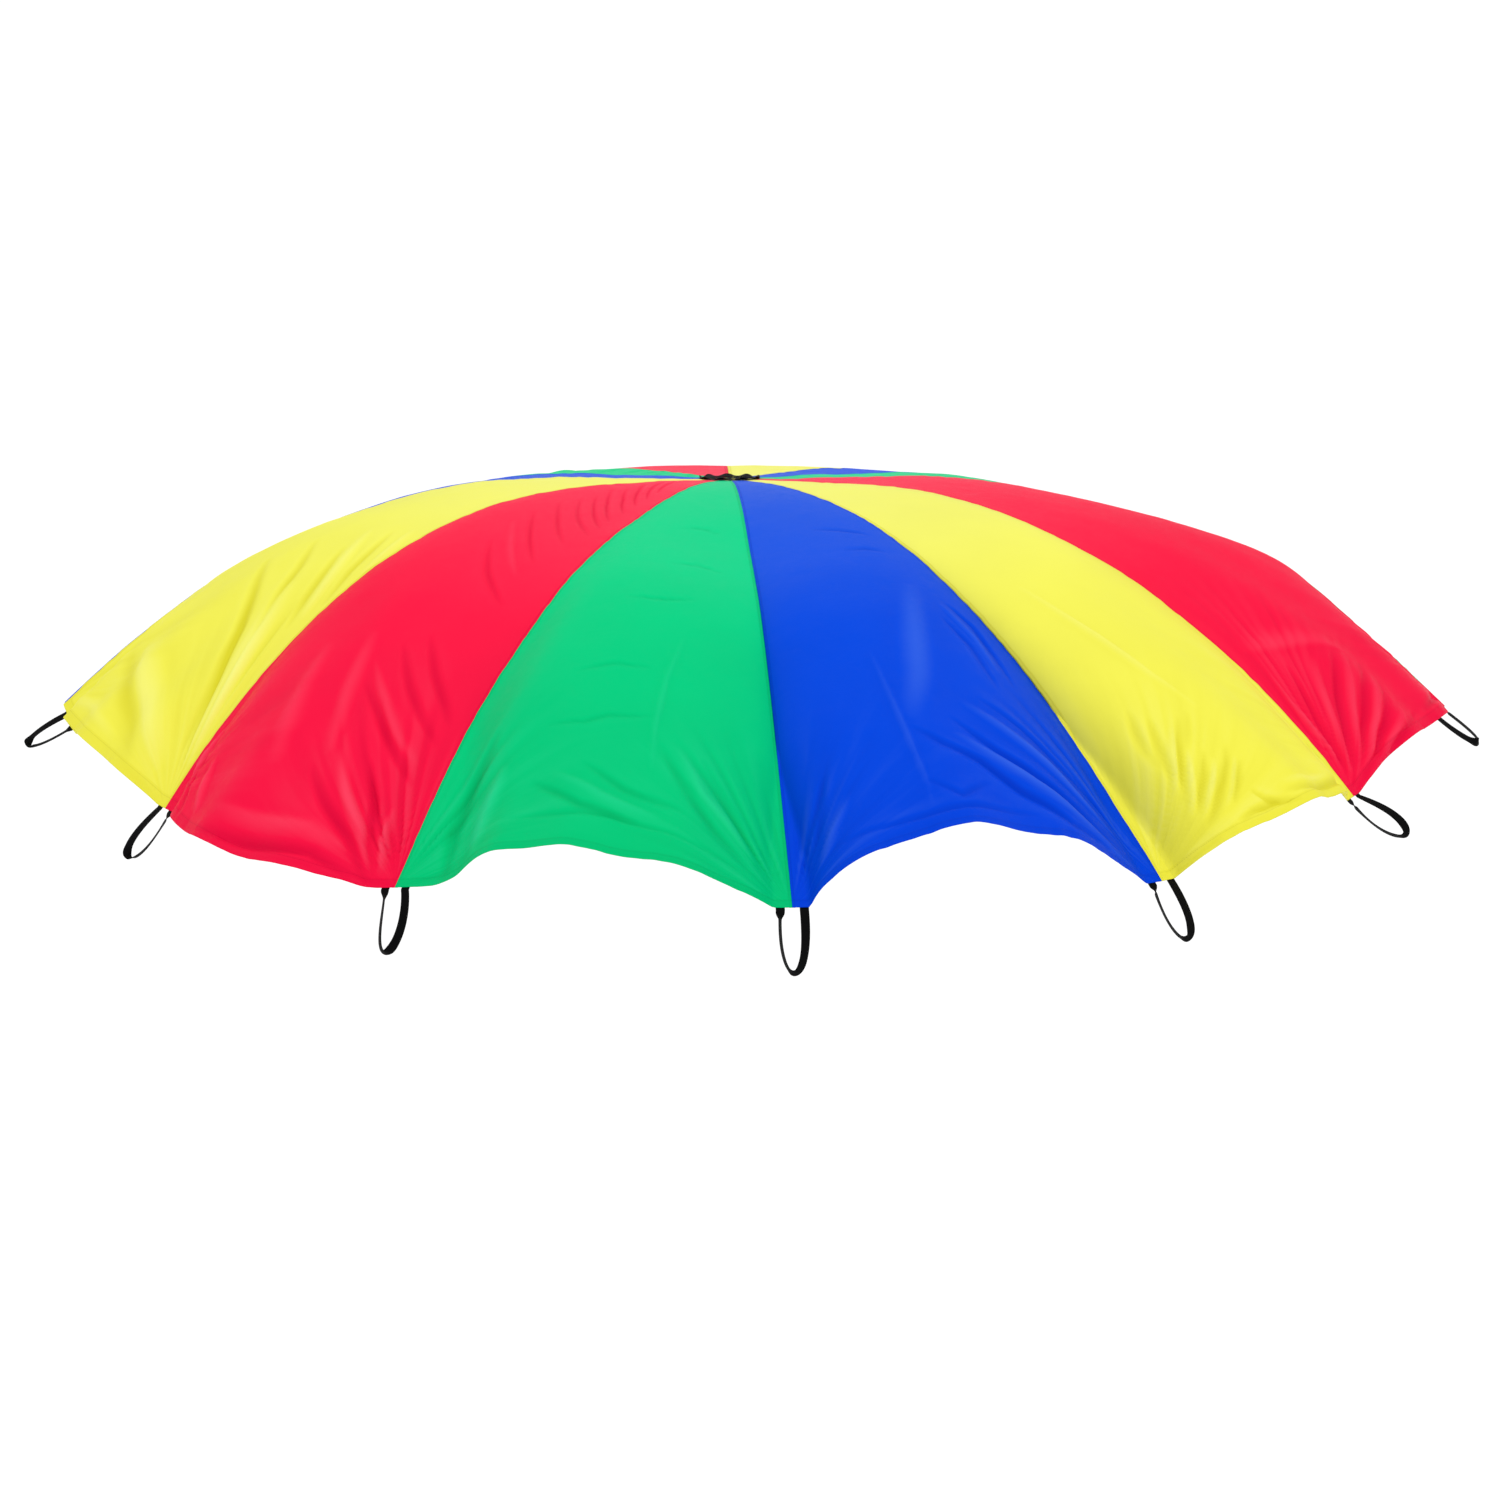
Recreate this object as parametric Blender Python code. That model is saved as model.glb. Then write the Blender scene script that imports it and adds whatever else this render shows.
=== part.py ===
"""Play parachute, shown in the air as a low dome: twelve sewn gores in four colours round a
net vent, with a webbing loop handle at each seam. Metres, +Z up. The origin is the centre
of the ring of handles, and the front, -Y, faces the camera. Handle 1 is at -X, and the
numbers run from there past the front, -Y, to +X and round the back."""

import math

import bmesh
import bpy
from mathutils import Matrix, Vector

# The dome. Shares are of the rim radius unless a comment says otherwise.
RIM_RADIUS = 1.69
DOME_HEIGHT = 0.543
HUB_OFFSET_SHARES = (-0.029, 0.096)  # the vent lies a little left of and behind the middle
LEAN_SHARE = 0.146  # how much higher the crown is at the front than at the vent
LEAN_TURN = math.radians(-2.9)  # the heading, from the front, towards which it rises
CROWN_SHARE = 0.2  # the crown stays flat out to here
DOME_POWER = 2.36  # how suddenly the dome turns down outside the crown
PUFF_START_SHARE = 0.06
HILL_SHARE = 0.13  # from here on the hills have their whole height
# Low hills and hollows of the dome: place (x, y), spread and height.
HILL_SHARES = ((-0.427, -0.190, 0.30, 0.0070), (0.250, -0.110, 0.26, 0.0085),
               (0.480, 0.080, 0.18, -0.0110), (0.775, 0.040, 0.09, 0.0100),
               (-0.850, 0.170, 0.13, -0.0220), (-0.660, 0.180, 0.13, -0.0130),
               (-0.970, 0.150, 0.09, -0.0200), (-0.387, -0.635, 0.20, 0.0140),
               (0.600, 0.170, 0.12, -0.0110), (0.800, 0.160, 0.12, -0.0130),
               (0.930, 0.100, 0.11, -0.0110), (-0.149, -0.148, 0.16, -0.0070),
               (0.060, -0.080, 0.13, -0.0028), (-0.030, -0.300, 0.14, -0.0184),
               (-0.260, -0.060, 0.13, 0.0022), (0.790, 0.040, 0.08, 0.0040),
               (0.870, 0.050, 0.07, 0.0030), (0.660, 0.080, 0.10, 0.0064),
               (0.300, 0.160, 0.08, 0.0060), (0.520, 0.100, 0.09, 0.0027),
               (-0.372, -0.930, 0.05, 0.0100))

# One value for each seam and its handle, 1 to 12.
RIM_RADIUS_SHARES = (0.996, 0.952, 1.014, 1.004, 0.984, 0.930,
                     1.013, 0.965, 0.980, 0.990, 0.970, 0.960)
RIM_LIFT_SHARES = (0.022, -0.002, 0.001, 0.007, -0.011, -0.011,
                   -0.006, 0.004, 0.008, -0.006, -0.009, 0.005)
PUFF_SHARES = (0.006, -0.009, -0.083, -0.110, -0.076, -0.020,
               0.012, 0.002, 0.001, 0.001, 0.003, 0.005)

# One value for each gore, 1 to 12: how far its hem billows out and up between its handles,
# the skew of that arch (below 1 leans it towards the lower-numbered handle), and how softly
# it starts there.
HEM_OUT_SHARES = (0.004, 0.066, 0.040, 0.035, 0.072, 0.001,
                  0.000, 0.040, 0.065, 0.060, 0.045, -0.020)
HEM_UP_SHARES = (0.022, 0.020, 0.087, 0.113, 0.080, 0.036,
                 -0.020, -0.020, 0.010, 0.020, -0.010, -0.020)
HEM_SKEW_SHARES = (1.00, 1.00, 0.86, 0.82, 0.66, 0.89,
                   0.90, 1.05, 1.00, 0.95, 1.05, 1.00)
ARCH_START_POWERS = (0.8, 0.8, 1.5, 0.75, 1.0, 0.95, 2.0, 2.0, 0.8, 0.8, 2.0, 2.0)
ARCH_START_SHARE = 0.3
ARCH_END_POWERS = (0.8, 0.8, 0.8, 0.8, 0.9, 0.6, 2.0, 2.0, 0.8, 0.8, 2.0, 2.0)
ARCH_END_SHARE = 0.5
ARCH_SOFT_SHARE = 0.04  # how gently the cloth leaves a handle's corner
BILLOW_START_SHARE = 0.25
BILLOW_POWER = 1.5
ARCH_POWER = 0.8
SAG_POWER = 2.0  # of an arch that hangs down, which starts more softly
CORNER_SHARE = 0.044  # of a gore's width, flat beside each seam, where a handle is sewn

# Where a handle's corner of the canopy is pulled askew: its hem's slope outwards and upwards
# on the way to the next handle.
CORNER_TURN_SHARES = (-0.30, 0, 0, 0, 0, 0, 0.60, 0, 0, 0, 0, 0)
CORNER_TILT_SHARES = (-0.46, 0, 0.17, 0, 0, 0, 0.09, 0, 0, 0, 0, 0)
CORNER_STRETCHES = (0, 0, 0.050, 0, 0, 0, 0, 0, 0, 0, 0, 0)  # further along the hem
CORNER_FADE_SHARE = 0.14  # of a gore's width
CORNER_START_SHARE = 0.75  # of the way to the rim

# Soft flutes that run up from the hem.
FLUTE_DEPTH = 0.011
FLUTE_COUNT = 3
FLUTE_POWER = 5.0

# Cloth.
CLOTH = 0.0012
HEM_WIDTH = 0.020
FIT_GAP = 0.0003
GORE_COUNT = 12
GORE_COLUMNS = 9
GORE_ROWS = 9
CORNER_LENGTH = 0.062  # of seam, straight, above each handle
COLOURS = ("yellow", "red", "green", "blue")
PAINT = {"yellow": (0.90, 0.86, 0.09, 1.0), "red": (0.95, 0.02, 0.06, 1.0),
         "green": (0.0, 0.58, 0.19, 1.0), "blue": (0.0, 0.05, 0.72, 1.0),
         "black": (0.012, 0.012, 0.014, 1.0)}

# The vent in the middle: a net held between two rings of binding tape.
NET_RADIUS = 0.0655
NET_GAP = 0.0005  # between the net's edge and the gores' inner edge
NET_PITCH = 0.0135
NET_STRAND = 0.0022
BINDING_LAP = 0.0055  # over the net's edge
BINDING_WIDTH = 0.0145
BINDING_THICKNESS = 0.0010
COLLAR_MARGIN = 0.0055  # how far past the binding the gores stay flat
VENT_EDGE_RADIUS = NET_RADIUS + NET_GAP  # the gores' inner edge
BINDING_INNER_RADIUS = NET_RADIUS - BINDING_LAP
BINDING_OUTER_RADIUS = BINDING_INNER_RADIUS + BINDING_WIDTH
VENT_COLLAR_RADIUS = BINDING_OUTER_RADIUS + COLLAR_MARGIN
ROUND_STEPS = 48

# Handles: one webbing strap each, in a loop, with both tails sewn under the hem.
STRAP_WIDTH = 0.020
STRAP_THICKNESS = 0.0016
LEG_SPACING = 0.052
LOOP_LENGTH = 0.136
LOOP_BULGE_SHARE = 0.35  # how much wider a loop's belly is than half an ellipse
LOOP_STEPS = 34
LOOP_CELLS = 2  # across the strap
TAIL_LENGTH = 0.046
PATCH_LENGTH = 0.022
TAIL_DROP = 0.0004  # from the hem's underside
BEND_REACH = 0.0060  # from the hem's edge out to the line that the loop swings about
BEND_GAP = 0.0016
TURN_FLAT_SHARE = 0.12  # of the loop, in which the thin leg turns flat to the hem
SWAY_POWER = 0.5
# For each handle: how far it is sewn past the seam, how far its loop leans outwards from
# straight down, its length as a share of LOOP_LENGTH, how far its belly is twisted, how far
# its tip hangs to one side, as a share of its length, which leg is the flat one, and how far
# the strap's width is turned out of the loop's plane in its flat leg, tip and thin leg.
HANDLE_SHIFTS = (0.060, 0, 0, 0, 0, 0, -0.037, 0, 0, 0, 0, 0)
LOOP_LEANS = tuple(math.radians(a) for a in (60, 46, 12, 16, 42, 60, 56, 30, 25, 20, 30, 40))
LOOP_LENGTH_SHARES = (0.84, 1.0, 1.0, 1.0, 1.02, 1.06, 0.88, 1.0, 1.0, 1.0, 1.0, 1.0)
LOOP_TWISTS = tuple(math.radians(a) for a in (0, 35, 10, 0, -28, -68, 0, 20, 0, -20, 15, 0))
LOOP_SWAY_SHARES = (0.02, 0.05, -0.24, 0.02, 0.00, 0.08, 0.10, 0.05, -0.05, 0.00, 0.05, 0.00)
FLAT_LEGS = (-1, -1, 1, 1, 1, 1, -1, 1, -1, 1, -1, 1)
STRAP_TURNS = tuple(tuple(math.radians(a) for a in turns) for turns in (
    (10, -65, -28), (10, -50, -76), (0, -55, -50), (-30, -50, -76), (-20, -65, -92),
    (-20, -55, -78), (10, 65, 44), (12, 60, 66), (12, 60, 66), (12, 60, 66), (12, 60, 66),
    (12, 60, 66)))


def clear_scene():
    for thing in list(bpy.data.objects):
        bpy.data.objects.remove(thing)


def paint(name, roughness):
    material = bpy.data.materials.new(name)
    material.use_nodes = True
    shader = material.node_tree.nodes["Principled BSDF"]
    shader.inputs["Base Color"].default_value = PAINT[name]
    shader.inputs["Roughness"].default_value = roughness
    shader.inputs["Metallic"].default_value = 0.0
    material.diffuse_color = PAINT[name]
    return material


def heading(seam):
    """A seam's direction from the middle, 0 at the front and growing towards +X."""
    return math.radians(360 / GORE_COUNT) * seam - math.pi / 2


def outward(angle):
    return Vector((math.sin(angle), -math.cos(angle), 0.0))


def sideways(angle):
    return Vector((math.cos(angle), math.sin(angle), 0.0))


def ease(w):
    return w * w * (3 - 2 * w)


def between_seams(table, gore, w):
    low, high = table[gore % GORE_COUNT], table[(gore + 1) % GORE_COUNT]
    return low + (high - low) * ease(w)


def fall(t):
    """How much of the dome's height is lost at t, the share of the way to the rim."""
    return (max(0.0, t - CROWN_SHARE) / (1 - CROWN_SHARE)) ** DOME_POWER


def puff(t):
    """A swelling along a seam, nothing at the vent and the rim and 1 at its highest."""
    s = max(0.0, t - PUFF_START_SHARE) / (1 - PUFF_START_SHARE)
    return 27 / 4 * s * s * (1 - s)


def hub_centre():
    x, y = HUB_OFFSET_SHARES
    return Vector((x * RIM_RADIUS, y * RIM_RADIUS, DOME_HEIGHT))


def dome_point(gore, w, t):
    """The dome without its billows, at share w across a gore and t of the way to the rim."""
    angle = heading(gore + w)
    rim = outward(angle) * (RIM_RADIUS * between_seams(RIM_RADIUS_SHARES, gore, w))
    hub = hub_centre()
    point = hub * (1 - t) + rim * t
    lean = LEAN_SHARE * (point - hub).dot(outward(LEAN_TURN))
    lift = between_seams(RIM_LIFT_SHARES, gore, w) * RIM_RADIUS * fall(t)
    swell = between_seams(PUFF_SHARES, gore, w) * RIM_RADIUS * puff(t)
    point.z = (1 - fall(t)) * (DOME_HEIGHT + lean) + lift + swell
    grown = ease(min(1.0, max(0.0, t - PUFF_START_SHARE) / (HILL_SHARE - PUFF_START_SHARE)))
    for x, y, spread, rise in HILL_SHARES:
        away = math.hypot(point.x / RIM_RADIUS - x, point.y / RIM_RADIUS - y)
        point.z += grown * rise * RIM_RADIUS * math.exp(-((away / spread) ** 2))
    return point


def dome_normal(gore, w, t):
    step = 1 / 512
    inner, outer = dome_point(gore, w, t - step), dome_point(gore, w, t + step)
    left, right = dome_point(gore, w - step, t), dome_point(gore, w + step, t)
    return (outer - inner).cross(right - left).normalized()


def corner_extra(seam, side):
    """How much wider a gore's flat corner is on one side of a seam, for the handle's shift
    or the hem's stretch."""
    width = RIM_RADIUS * 2 * math.pi / GORE_COUNT
    shift = HANDLE_SHIFTS[seam % GORE_COUNT] + CORNER_STRETCHES[seam % GORE_COUNT]
    return max(0.0, side * shift) / width


def flat_shares(gore):
    """The flat parts of a gore beside its two seams."""
    return CORNER_SHARE + corner_extra(gore, 1), CORNER_SHARE + corner_extra(gore + 1, -1)


def corner_growth(t):
    """How much of a handle's flat corner there is this far down the cloth."""
    corner = 1 - CORNER_LENGTH / RIM_RADIUS
    grown = (t - CORNER_START_SHARE) / (corner - CORNER_START_SHARE)
    return ease(min(1.0, max(0.0, grown)))


def past_corner(gore, w, t):
    """The share of the way from one handle's flat corner to the next one's."""
    low, high = (flat * corner_growth(t) for flat in flat_shares(gore))
    return min(1.0, max(0.0, (w - low) / (1 - low - high)))


def arch(gore, w, t):
    """The hem's arch between two handles: flat beside each of them, 1 at its highest."""
    s = past_corner(gore, w, t) ** HEM_SKEW_SHARES[gore]
    power = ARCH_POWER if HEM_UP_SHARES[gore] > 0 else SAG_POWER
    begun = ease(min(1.0, s / ARCH_START_SHARE))
    power = ARCH_START_POWERS[gore] * (1 - begun) + power * begun
    ended = ease(min(1.0, (1 - s) / ARCH_END_SHARE))
    power = ARCH_END_POWERS[gore] * (1 - ended) + power * ended
    soft = math.hypot(math.sin(math.pi * s), ARCH_SOFT_SHARE) - ARCH_SOFT_SHARE
    return max(0.0, soft / (math.hypot(1, ARCH_SOFT_SHARE) - ARCH_SOFT_SHARE)) ** power


def corner_slope(seam):
    turn, tilt = CORNER_TURN_SHARES[seam % GORE_COUNT], CORNER_TILT_SHARES[seam % GORE_COUNT]
    return outward(heading(seam)) * turn + Vector((0, 0, tilt))


def corner_pull(gore, w, t):
    """The shift of a point near a handle whose corner is pulled askew."""
    if t <= CORNER_START_SHARE:
        return Vector()
    width = RIM_RADIUS * 2 * math.pi / GORE_COUNT
    seam, past, side = (gore, w, 1) if w < 1 / 2 else (gore + 1, w - 1, -1)
    if HANDLE_SHIFTS[seam % GORE_COUNT] * past < 0:
        return Vector()
    reach = CORNER_FADE_SHARE + corner_extra(seam, side) - abs(past)
    fade = reach / (CORNER_FADE_SHARE - CORNER_SHARE)
    fade = ease(min(1.0, max(0.0, fade)))
    return corner_slope(seam) * (past * width * fade * corner_growth(t))


def canopy_point(gore, w, t):
    point = dome_point(gore, w, t) + corner_pull(gore, w, t)
    grown = (max(0.0, t - BILLOW_START_SHARE) / (1 - BILLOW_START_SHARE)) ** BILLOW_POWER
    rise = grown * arch(gore, w, t) * RIM_RADIUS
    out = outward(heading(gore + w)) * HEM_OUT_SHARES[gore]
    point += (out + Vector((0, 0, HEM_UP_SHARES[gore]))) * rise
    s = past_corner(gore, w, t)
    flute = FLUTE_DEPTH * math.sin(2 * math.pi * FLUTE_COUNT * s) * math.sin(math.pi * s)
    return point + dome_normal(gore, w, t) * flute * t ** FLUTE_POWER


def seam_length(gore, w):
    """From the vent's centre to the hem in plan."""
    rim = dome_point(gore, w, 1.0)
    hub = hub_centre()
    return math.hypot(rim.x - hub.x, rim.y - hub.y)


def row_shares(reach):
    """The rows of a gore from the vent's edge out, with one just past the binding, one at the
    handles' straight corner and one at the fold of the hem."""
    edge = VENT_EDGE_RADIUS / reach
    first = VENT_COLLAR_RADIUS / reach
    corner = 1 - CORNER_LENGTH / reach
    hem = 1 - HEM_WIDTH / reach
    even = [first + (corner - first) * i / GORE_ROWS for i in range(GORE_ROWS + 1)]
    return [edge] + even + [hem, 1.0]


def column_shares(gore, width):
    edge = FIT_GAP / 2 / width
    low, high = flat_shares(gore)
    inner = [low + (1 - low - high) * i / GORE_COLUMNS for i in range(GORE_COLUMNS + 1)]
    return [edge] + inner + [1 - edge]


def grid_faces(bm, top, bottom):
    """A closed slab from two grids of vertices, rows running outwards and columns across. Both
    of its sides are cut along the same diagonals, so that its thickness stays even."""
    last_row, last_column = len(top) - 1, len(top[0]) - 1
    for i in range(last_row):
        for j in range(last_column):
            for side in (top, bottom):
                bm.faces.new((side[i][j], side[i + 1][j], side[i + 1][j + 1]))
                bm.faces.new((side[i][j], side[i + 1][j + 1], side[i][j + 1]))
    for i in range(last_row):
        bm.faces.new((top[i][0], bottom[i][0], bottom[i + 1][0], top[i + 1][0]))
        bm.faces.new((top[i][last_column], top[i + 1][last_column],
                      bottom[i + 1][last_column], bottom[i][last_column]))
    for j in range(last_column):
        bm.faces.new((top[0][j], top[0][j + 1], bottom[0][j + 1], bottom[0][j]))
        bm.faces.new((top[last_row][j], bottom[last_row][j],
                      bottom[last_row][j + 1], top[last_row][j + 1]))


def finish(name, bm, material, place=None, smooth=False):
    bmesh.ops.recalc_face_normals(bm, faces=bm.faces[:])
    mesh = bpy.data.meshes.new(name)
    bm.to_mesh(mesh)
    bm.free()
    if smooth:
        mesh.shade_smooth()
        mesh.set_sharp_from_angle(angle=math.radians(35))
    mesh.materials.append(material)
    thing = bpy.data.objects.new(name, mesh)
    if place is not None:
        thing.matrix_world = place
    bpy.context.scene.collection.objects.link(thing)
    return thing


def make_gore(gore, materials):
    bm = bmesh.new()
    top, bottom = [], []
    rows = len(row_shares(RIM_RADIUS))
    for i in range(rows):
        upper, lower = [], []
        for j, share in enumerate(column_shares(gore, RIM_RADIUS)):
            t = row_shares(seam_length(gore, share))[i]
            width = t * RIM_RADIUS * 2 * math.pi / GORE_COUNT
            w = column_shares(gore, width)[j]
            point = canopy_point(gore, w, t)
            normal = dome_normal(gore, w, t)
            depth = CLOTH * 1.5 if i >= rows - 2 else CLOTH / 2
            upper.append(bm.verts.new(point + normal * CLOTH / 2))
            lower.append(bm.verts.new(point - normal * depth))
        top.append(upper)
        bottom.append(lower)
    grid_faces(bm, top, bottom)
    name = f"gore_{gore + 1:02d}"
    finish(name, bm, materials[COLOURS[gore % len(COLOURS)]], smooth=True)


def hub_place():
    """The vent's plane, which leans with the crown."""
    normal = dome_normal(0, 0.0, VENT_EDGE_RADIUS / RIM_RADIUS / 2)
    across = Vector((0, 1, 0)).cross(normal).normalized()
    along = normal.cross(across)
    turned = Matrix((across, along, normal)).transposed().to_4x4()
    return Matrix.Translation(hub_centre()) @ turned


def make_binding(name, side, material):
    """A flat ring of tape over the edges of the net and the gores, above or below them."""
    bm = bmesh.new()
    low = CLOTH / 2 + FIT_GAP
    high = low + BINDING_THICKNESS
    corners = [(BINDING_INNER_RADIUS, low), (BINDING_OUTER_RADIUS, low),
               (BINDING_OUTER_RADIUS, high), (BINDING_INNER_RADIUS, high)]
    verts = [bm.verts.new((r, 0, side * z)) for r, z in corners]
    edges = [bm.edges.new((verts[i], verts[(i + 1) % 4])) for i in range(4)]
    bmesh.ops.spin(bm, geom=verts + edges, axis=(0, 0, 1), cent=(0, 0, 0),
                   angle=2 * math.pi, steps=ROUND_STEPS, use_merge=True, use_duplicate=False)
    bmesh.ops.remove_doubles(bm, verts=bm.verts[:], dist=FIT_GAP / 30)
    finish(name, bm, material, place=hub_place(), smooth=True)


def box_into(bm, size, centre):
    made = bmesh.ops.create_cube(bm, size=1.0)["verts"]
    bmesh.ops.scale(bm, vec=size, verts=made)
    bmesh.ops.translate(bm, vec=centre, verts=made)


def make_net(material):
    """A flat net: a thin disc with a square gap at each place where one fits whole."""
    bm = bmesh.new()
    bmesh.ops.create_cone(bm, cap_ends=True, segments=ROUND_STEPS, radius1=NET_RADIUS,
                          radius2=NET_RADIUS, depth=CLOTH)
    net = finish("vent_net", bm, material, place=hub_place())
    cutter = bmesh.new()
    gap = NET_PITCH - NET_STRAND
    reach = int(NET_RADIUS / NET_PITCH) + 1
    gaps = 0
    for i in range(-reach, reach + 1):
        for j in range(-reach, reach + 1):
            x, y = i * NET_PITCH, j * NET_PITCH
            corner = math.hypot(abs(x) + gap / 2, abs(y) + gap / 2)
            if corner < NET_RADIUS - NET_STRAND:
                box_into(cutter, (gap, gap, CLOTH * 3), (x, y, 0))
                gaps += 1
    print("vent net gaps:", gaps)
    holes = finish("vent_net_gaps", cutter, material, place=hub_place())
    holes.hide_render = True
    holes.display_type = "WIRE"
    cut = net.modifiers.new("Gaps", "BOOLEAN")
    cut.object = holes
    cut.operation = "DIFFERENCE"
    cut.solver = "EXACT"


def corner_reach(seam):
    """The shares across the canopy, from the seam, between which a handle's corner is flat."""
    shift = HANDLE_SHIFTS[seam]
    width = RIM_RADIUS * 2 * math.pi / GORE_COUNT
    low = 0.0 if shift > 0 else shift / width - CORNER_SHARE
    high = 0.0 if shift < 0 else shift / width + CORNER_SHARE
    return low, high


def corner_point(seam, past, t):
    gore, w = (seam, past) if past >= 0 else ((seam - 1) % GORE_COUNT, 1 + past)
    return canopy_point(gore, w, t)


def seam_run(seam):
    """The straight end of the cloth beside a seam, from its start to the hem."""
    inner = 1 - CORNER_LENGTH / seam_length(seam, 0.0)
    low, high = corner_reach(seam)
    runs = [corner_point(seam, w, 1.0) - corner_point(seam, w, inner) for w in (low, high)]
    return (runs[0] + runs[1]) / 2


def corner_frame(seam):
    """A handle's frame: origin on the hem's middle layer, X along the hem, Y square to it and
    outwards, Z to the cloth's underside."""
    low, high = corner_reach(seam)
    start, end = corner_point(seam, low, 1.0), corner_point(seam, high, 1.0)
    along = (end - start).normalized()
    run = seam_run(seam)
    down = (run - along * run.dot(along)).normalized()
    turned = Matrix((along, down, along.cross(down))).transposed().to_4x4()
    edge = corner_point(seam, 0.0, 1.0)
    centre = start + along * ((edge - start).dot(along) + HANDLE_SHIFTS[seam])
    return Matrix.Translation(centre) @ turned


def tail_depth():
    """The middle of a sewn tail, below the hem's middle layer."""
    return CLOTH * 1.5 + TAIL_DROP + STRAP_THICKNESS / 2


def make_tails(seam, material):
    """Both ends of the strap, sewn under the hem, with the stitched patch that joins them."""
    bm = bmesh.new()
    outer, inner = (LEG_SPACING + STRAP_WIDTH) / 2, (LEG_SPACING - STRAP_WIDTH) / 2
    front, back = BEND_REACH - BEND_GAP, -TAIL_LENGTH
    step = back + PATCH_LENGTH
    outline = [(-outer, back), (outer, back), (outer, front), (inner, front),
               (inner, step), (-inner, step), (-inner, front), (-outer, front)]
    z = tail_depth() - STRAP_THICKNESS / 2
    run = corner_frame(seam).to_3x3().inverted() @ seam_run(seam)
    verts = [bm.verts.new((x + min(0.0, y) * run.x / run.y, y, z)) for x, y in outline]
    made = bmesh.ops.extrude_face_region(bm, geom=[bm.faces.new(verts)])["geom"]
    moved = [v for v in made if isinstance(v, bmesh.types.BMVert)]
    bmesh.ops.translate(bm, vec=(0, 0, STRAP_THICKNESS), verts=moved)
    finish(f"handle_{seam + 1:02d}_tails", bm, material, place=corner_frame(seam))


def loop_place(seam):
    """The line that a loop swings about: X along the hem, and -Z the way the loop hangs."""
    corner = corner_frame(seam)
    bend = corner @ Vector((0, BEND_REACH, tail_depth()))
    along = corner.col[0].to_3d()
    away = along.cross(Vector((0, 0, 1))).normalized()
    above = away.cross(along)
    lean = LOOP_LEANS[seam]
    up = above * math.cos(lean) - away * math.sin(lean)
    turned = Matrix((along, up.cross(along), up)).transposed().to_4x4()
    return Matrix.Translation(bend) @ turned


def strap_turn(seam, share):
    """How far the strap's width is turned out of the loop's plane, along the loop from the
    flat leg's end to the thin leg's."""
    flat, tip, thin = STRAP_TURNS[seam]
    stops = (0, 0.30, 0.50, 0.62, 1 - TURN_FLAT_SHARE, 1)
    turns = (0, flat, tip, thin, thin, 0)
    for i in range(len(stops) - 1):
        if share <= stops[i + 1]:
            part = (share - stops[i]) / (stops[i + 1] - stops[i])
            return turns[i] + (turns[i + 1] - turns[i]) * ease(part)
    return turns[-1]


def loop_centre(seam, angle):
    """The strap's middle, going round the loop from one leg at 0 to the other at pi."""
    depth = math.sin(angle)
    length = LOOP_LENGTH * LOOP_LENGTH_SHARES[seam]
    belly = LEG_SPACING / 2 * math.cos(angle) * (1 + LOOP_BULGE_SHARE * depth)
    twist = LOOP_TWISTS[seam] * depth
    sway = LOOP_SWAY_SHARES[seam] * length * depth * abs(depth) ** SWAY_POWER
    belly *= FLAT_LEGS[seam]
    return Vector((belly * math.cos(twist) + sway, belly * math.sin(twist), -length * depth))


def loop_section(seam, angle):
    """Centre, width direction and thickness direction of the strap."""
    step = math.pi / 512
    along = loop_centre(seam, angle + step) - loop_centre(seam, angle - step)
    if angle in (0, math.pi):
        along = Vector((0, 0, -math.cos(angle)))
    along.normalize()
    twist = LOOP_TWISTS[seam] * math.sin(angle)
    plane = Vector((-math.sin(twist), math.cos(twist), 0))
    across = plane.cross(along).normalized()
    plane = along.cross(across)
    turn = strap_turn(seam, angle / math.pi)
    wide = across * math.cos(turn) + plane * math.sin(turn)
    return loop_centre(seam, angle), wide, along.cross(wide)


def loop_stations():
    """Angle round the loop, distance past its end and share of the thickness: the strap's
    ends are rounded about the line that they swing on."""
    rounded = ((1.0, 0.2), (0.7, 0.7))
    stations = [(0.0, back * STRAP_THICKNESS / 2, thick) for back, thick in rounded]
    for i in range(LOOP_STEPS + 1):
        share = i / LOOP_STEPS
        stations.append((math.pi * (share - math.sin(4 * math.pi * share) / 16), 0.0, 1.0))
    for back, thick in reversed(rounded):
        stations.append((math.pi, back * STRAP_THICKNESS / 2, thick))
    return stations


def make_loop(seam, material):
    bm = bmesh.new()
    top, bottom = [], []
    for angle, past, thick in loop_stations():
        centre, wide, deep = loop_section(seam, angle)
        centre = centre + Vector((0, 0, past))
        depth = deep * STRAP_THICKNESS / 2 * thick
        across = [wide * STRAP_WIDTH * (i / LOOP_CELLS - 1 / 2) for i in range(LOOP_CELLS + 1)]
        top.append([bm.verts.new(centre + shift + depth) for shift in across])
        bottom.append([bm.verts.new(centre + shift - depth) for shift in across])
    grid_faces(bm, top, bottom)
    name = f"handle_{seam + 1:02d}_loop"
    finish(name, bm, material, place=loop_place(seam), smooth=True)


def main():
    clear_scene()
    cloths = {name: paint(name, 0.45) for name in COLOURS}
    black = paint("black", 0.8)
    for gore in range(GORE_COUNT):
        make_gore(gore, cloths)
    make_net(black)
    make_binding("vent_binding_top", 1, black)
    make_binding("vent_binding_bottom", -1, black)
    for seam in range(GORE_COUNT):
        make_tails(seam, black)
        make_loop(seam, black)


main()
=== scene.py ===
"""Looks of the play parachute: twelve gores of thin satin polyester, sewn and hemmed, webbing
loop handles and a net vent. Metres, +Z up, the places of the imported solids."""

import math

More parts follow.
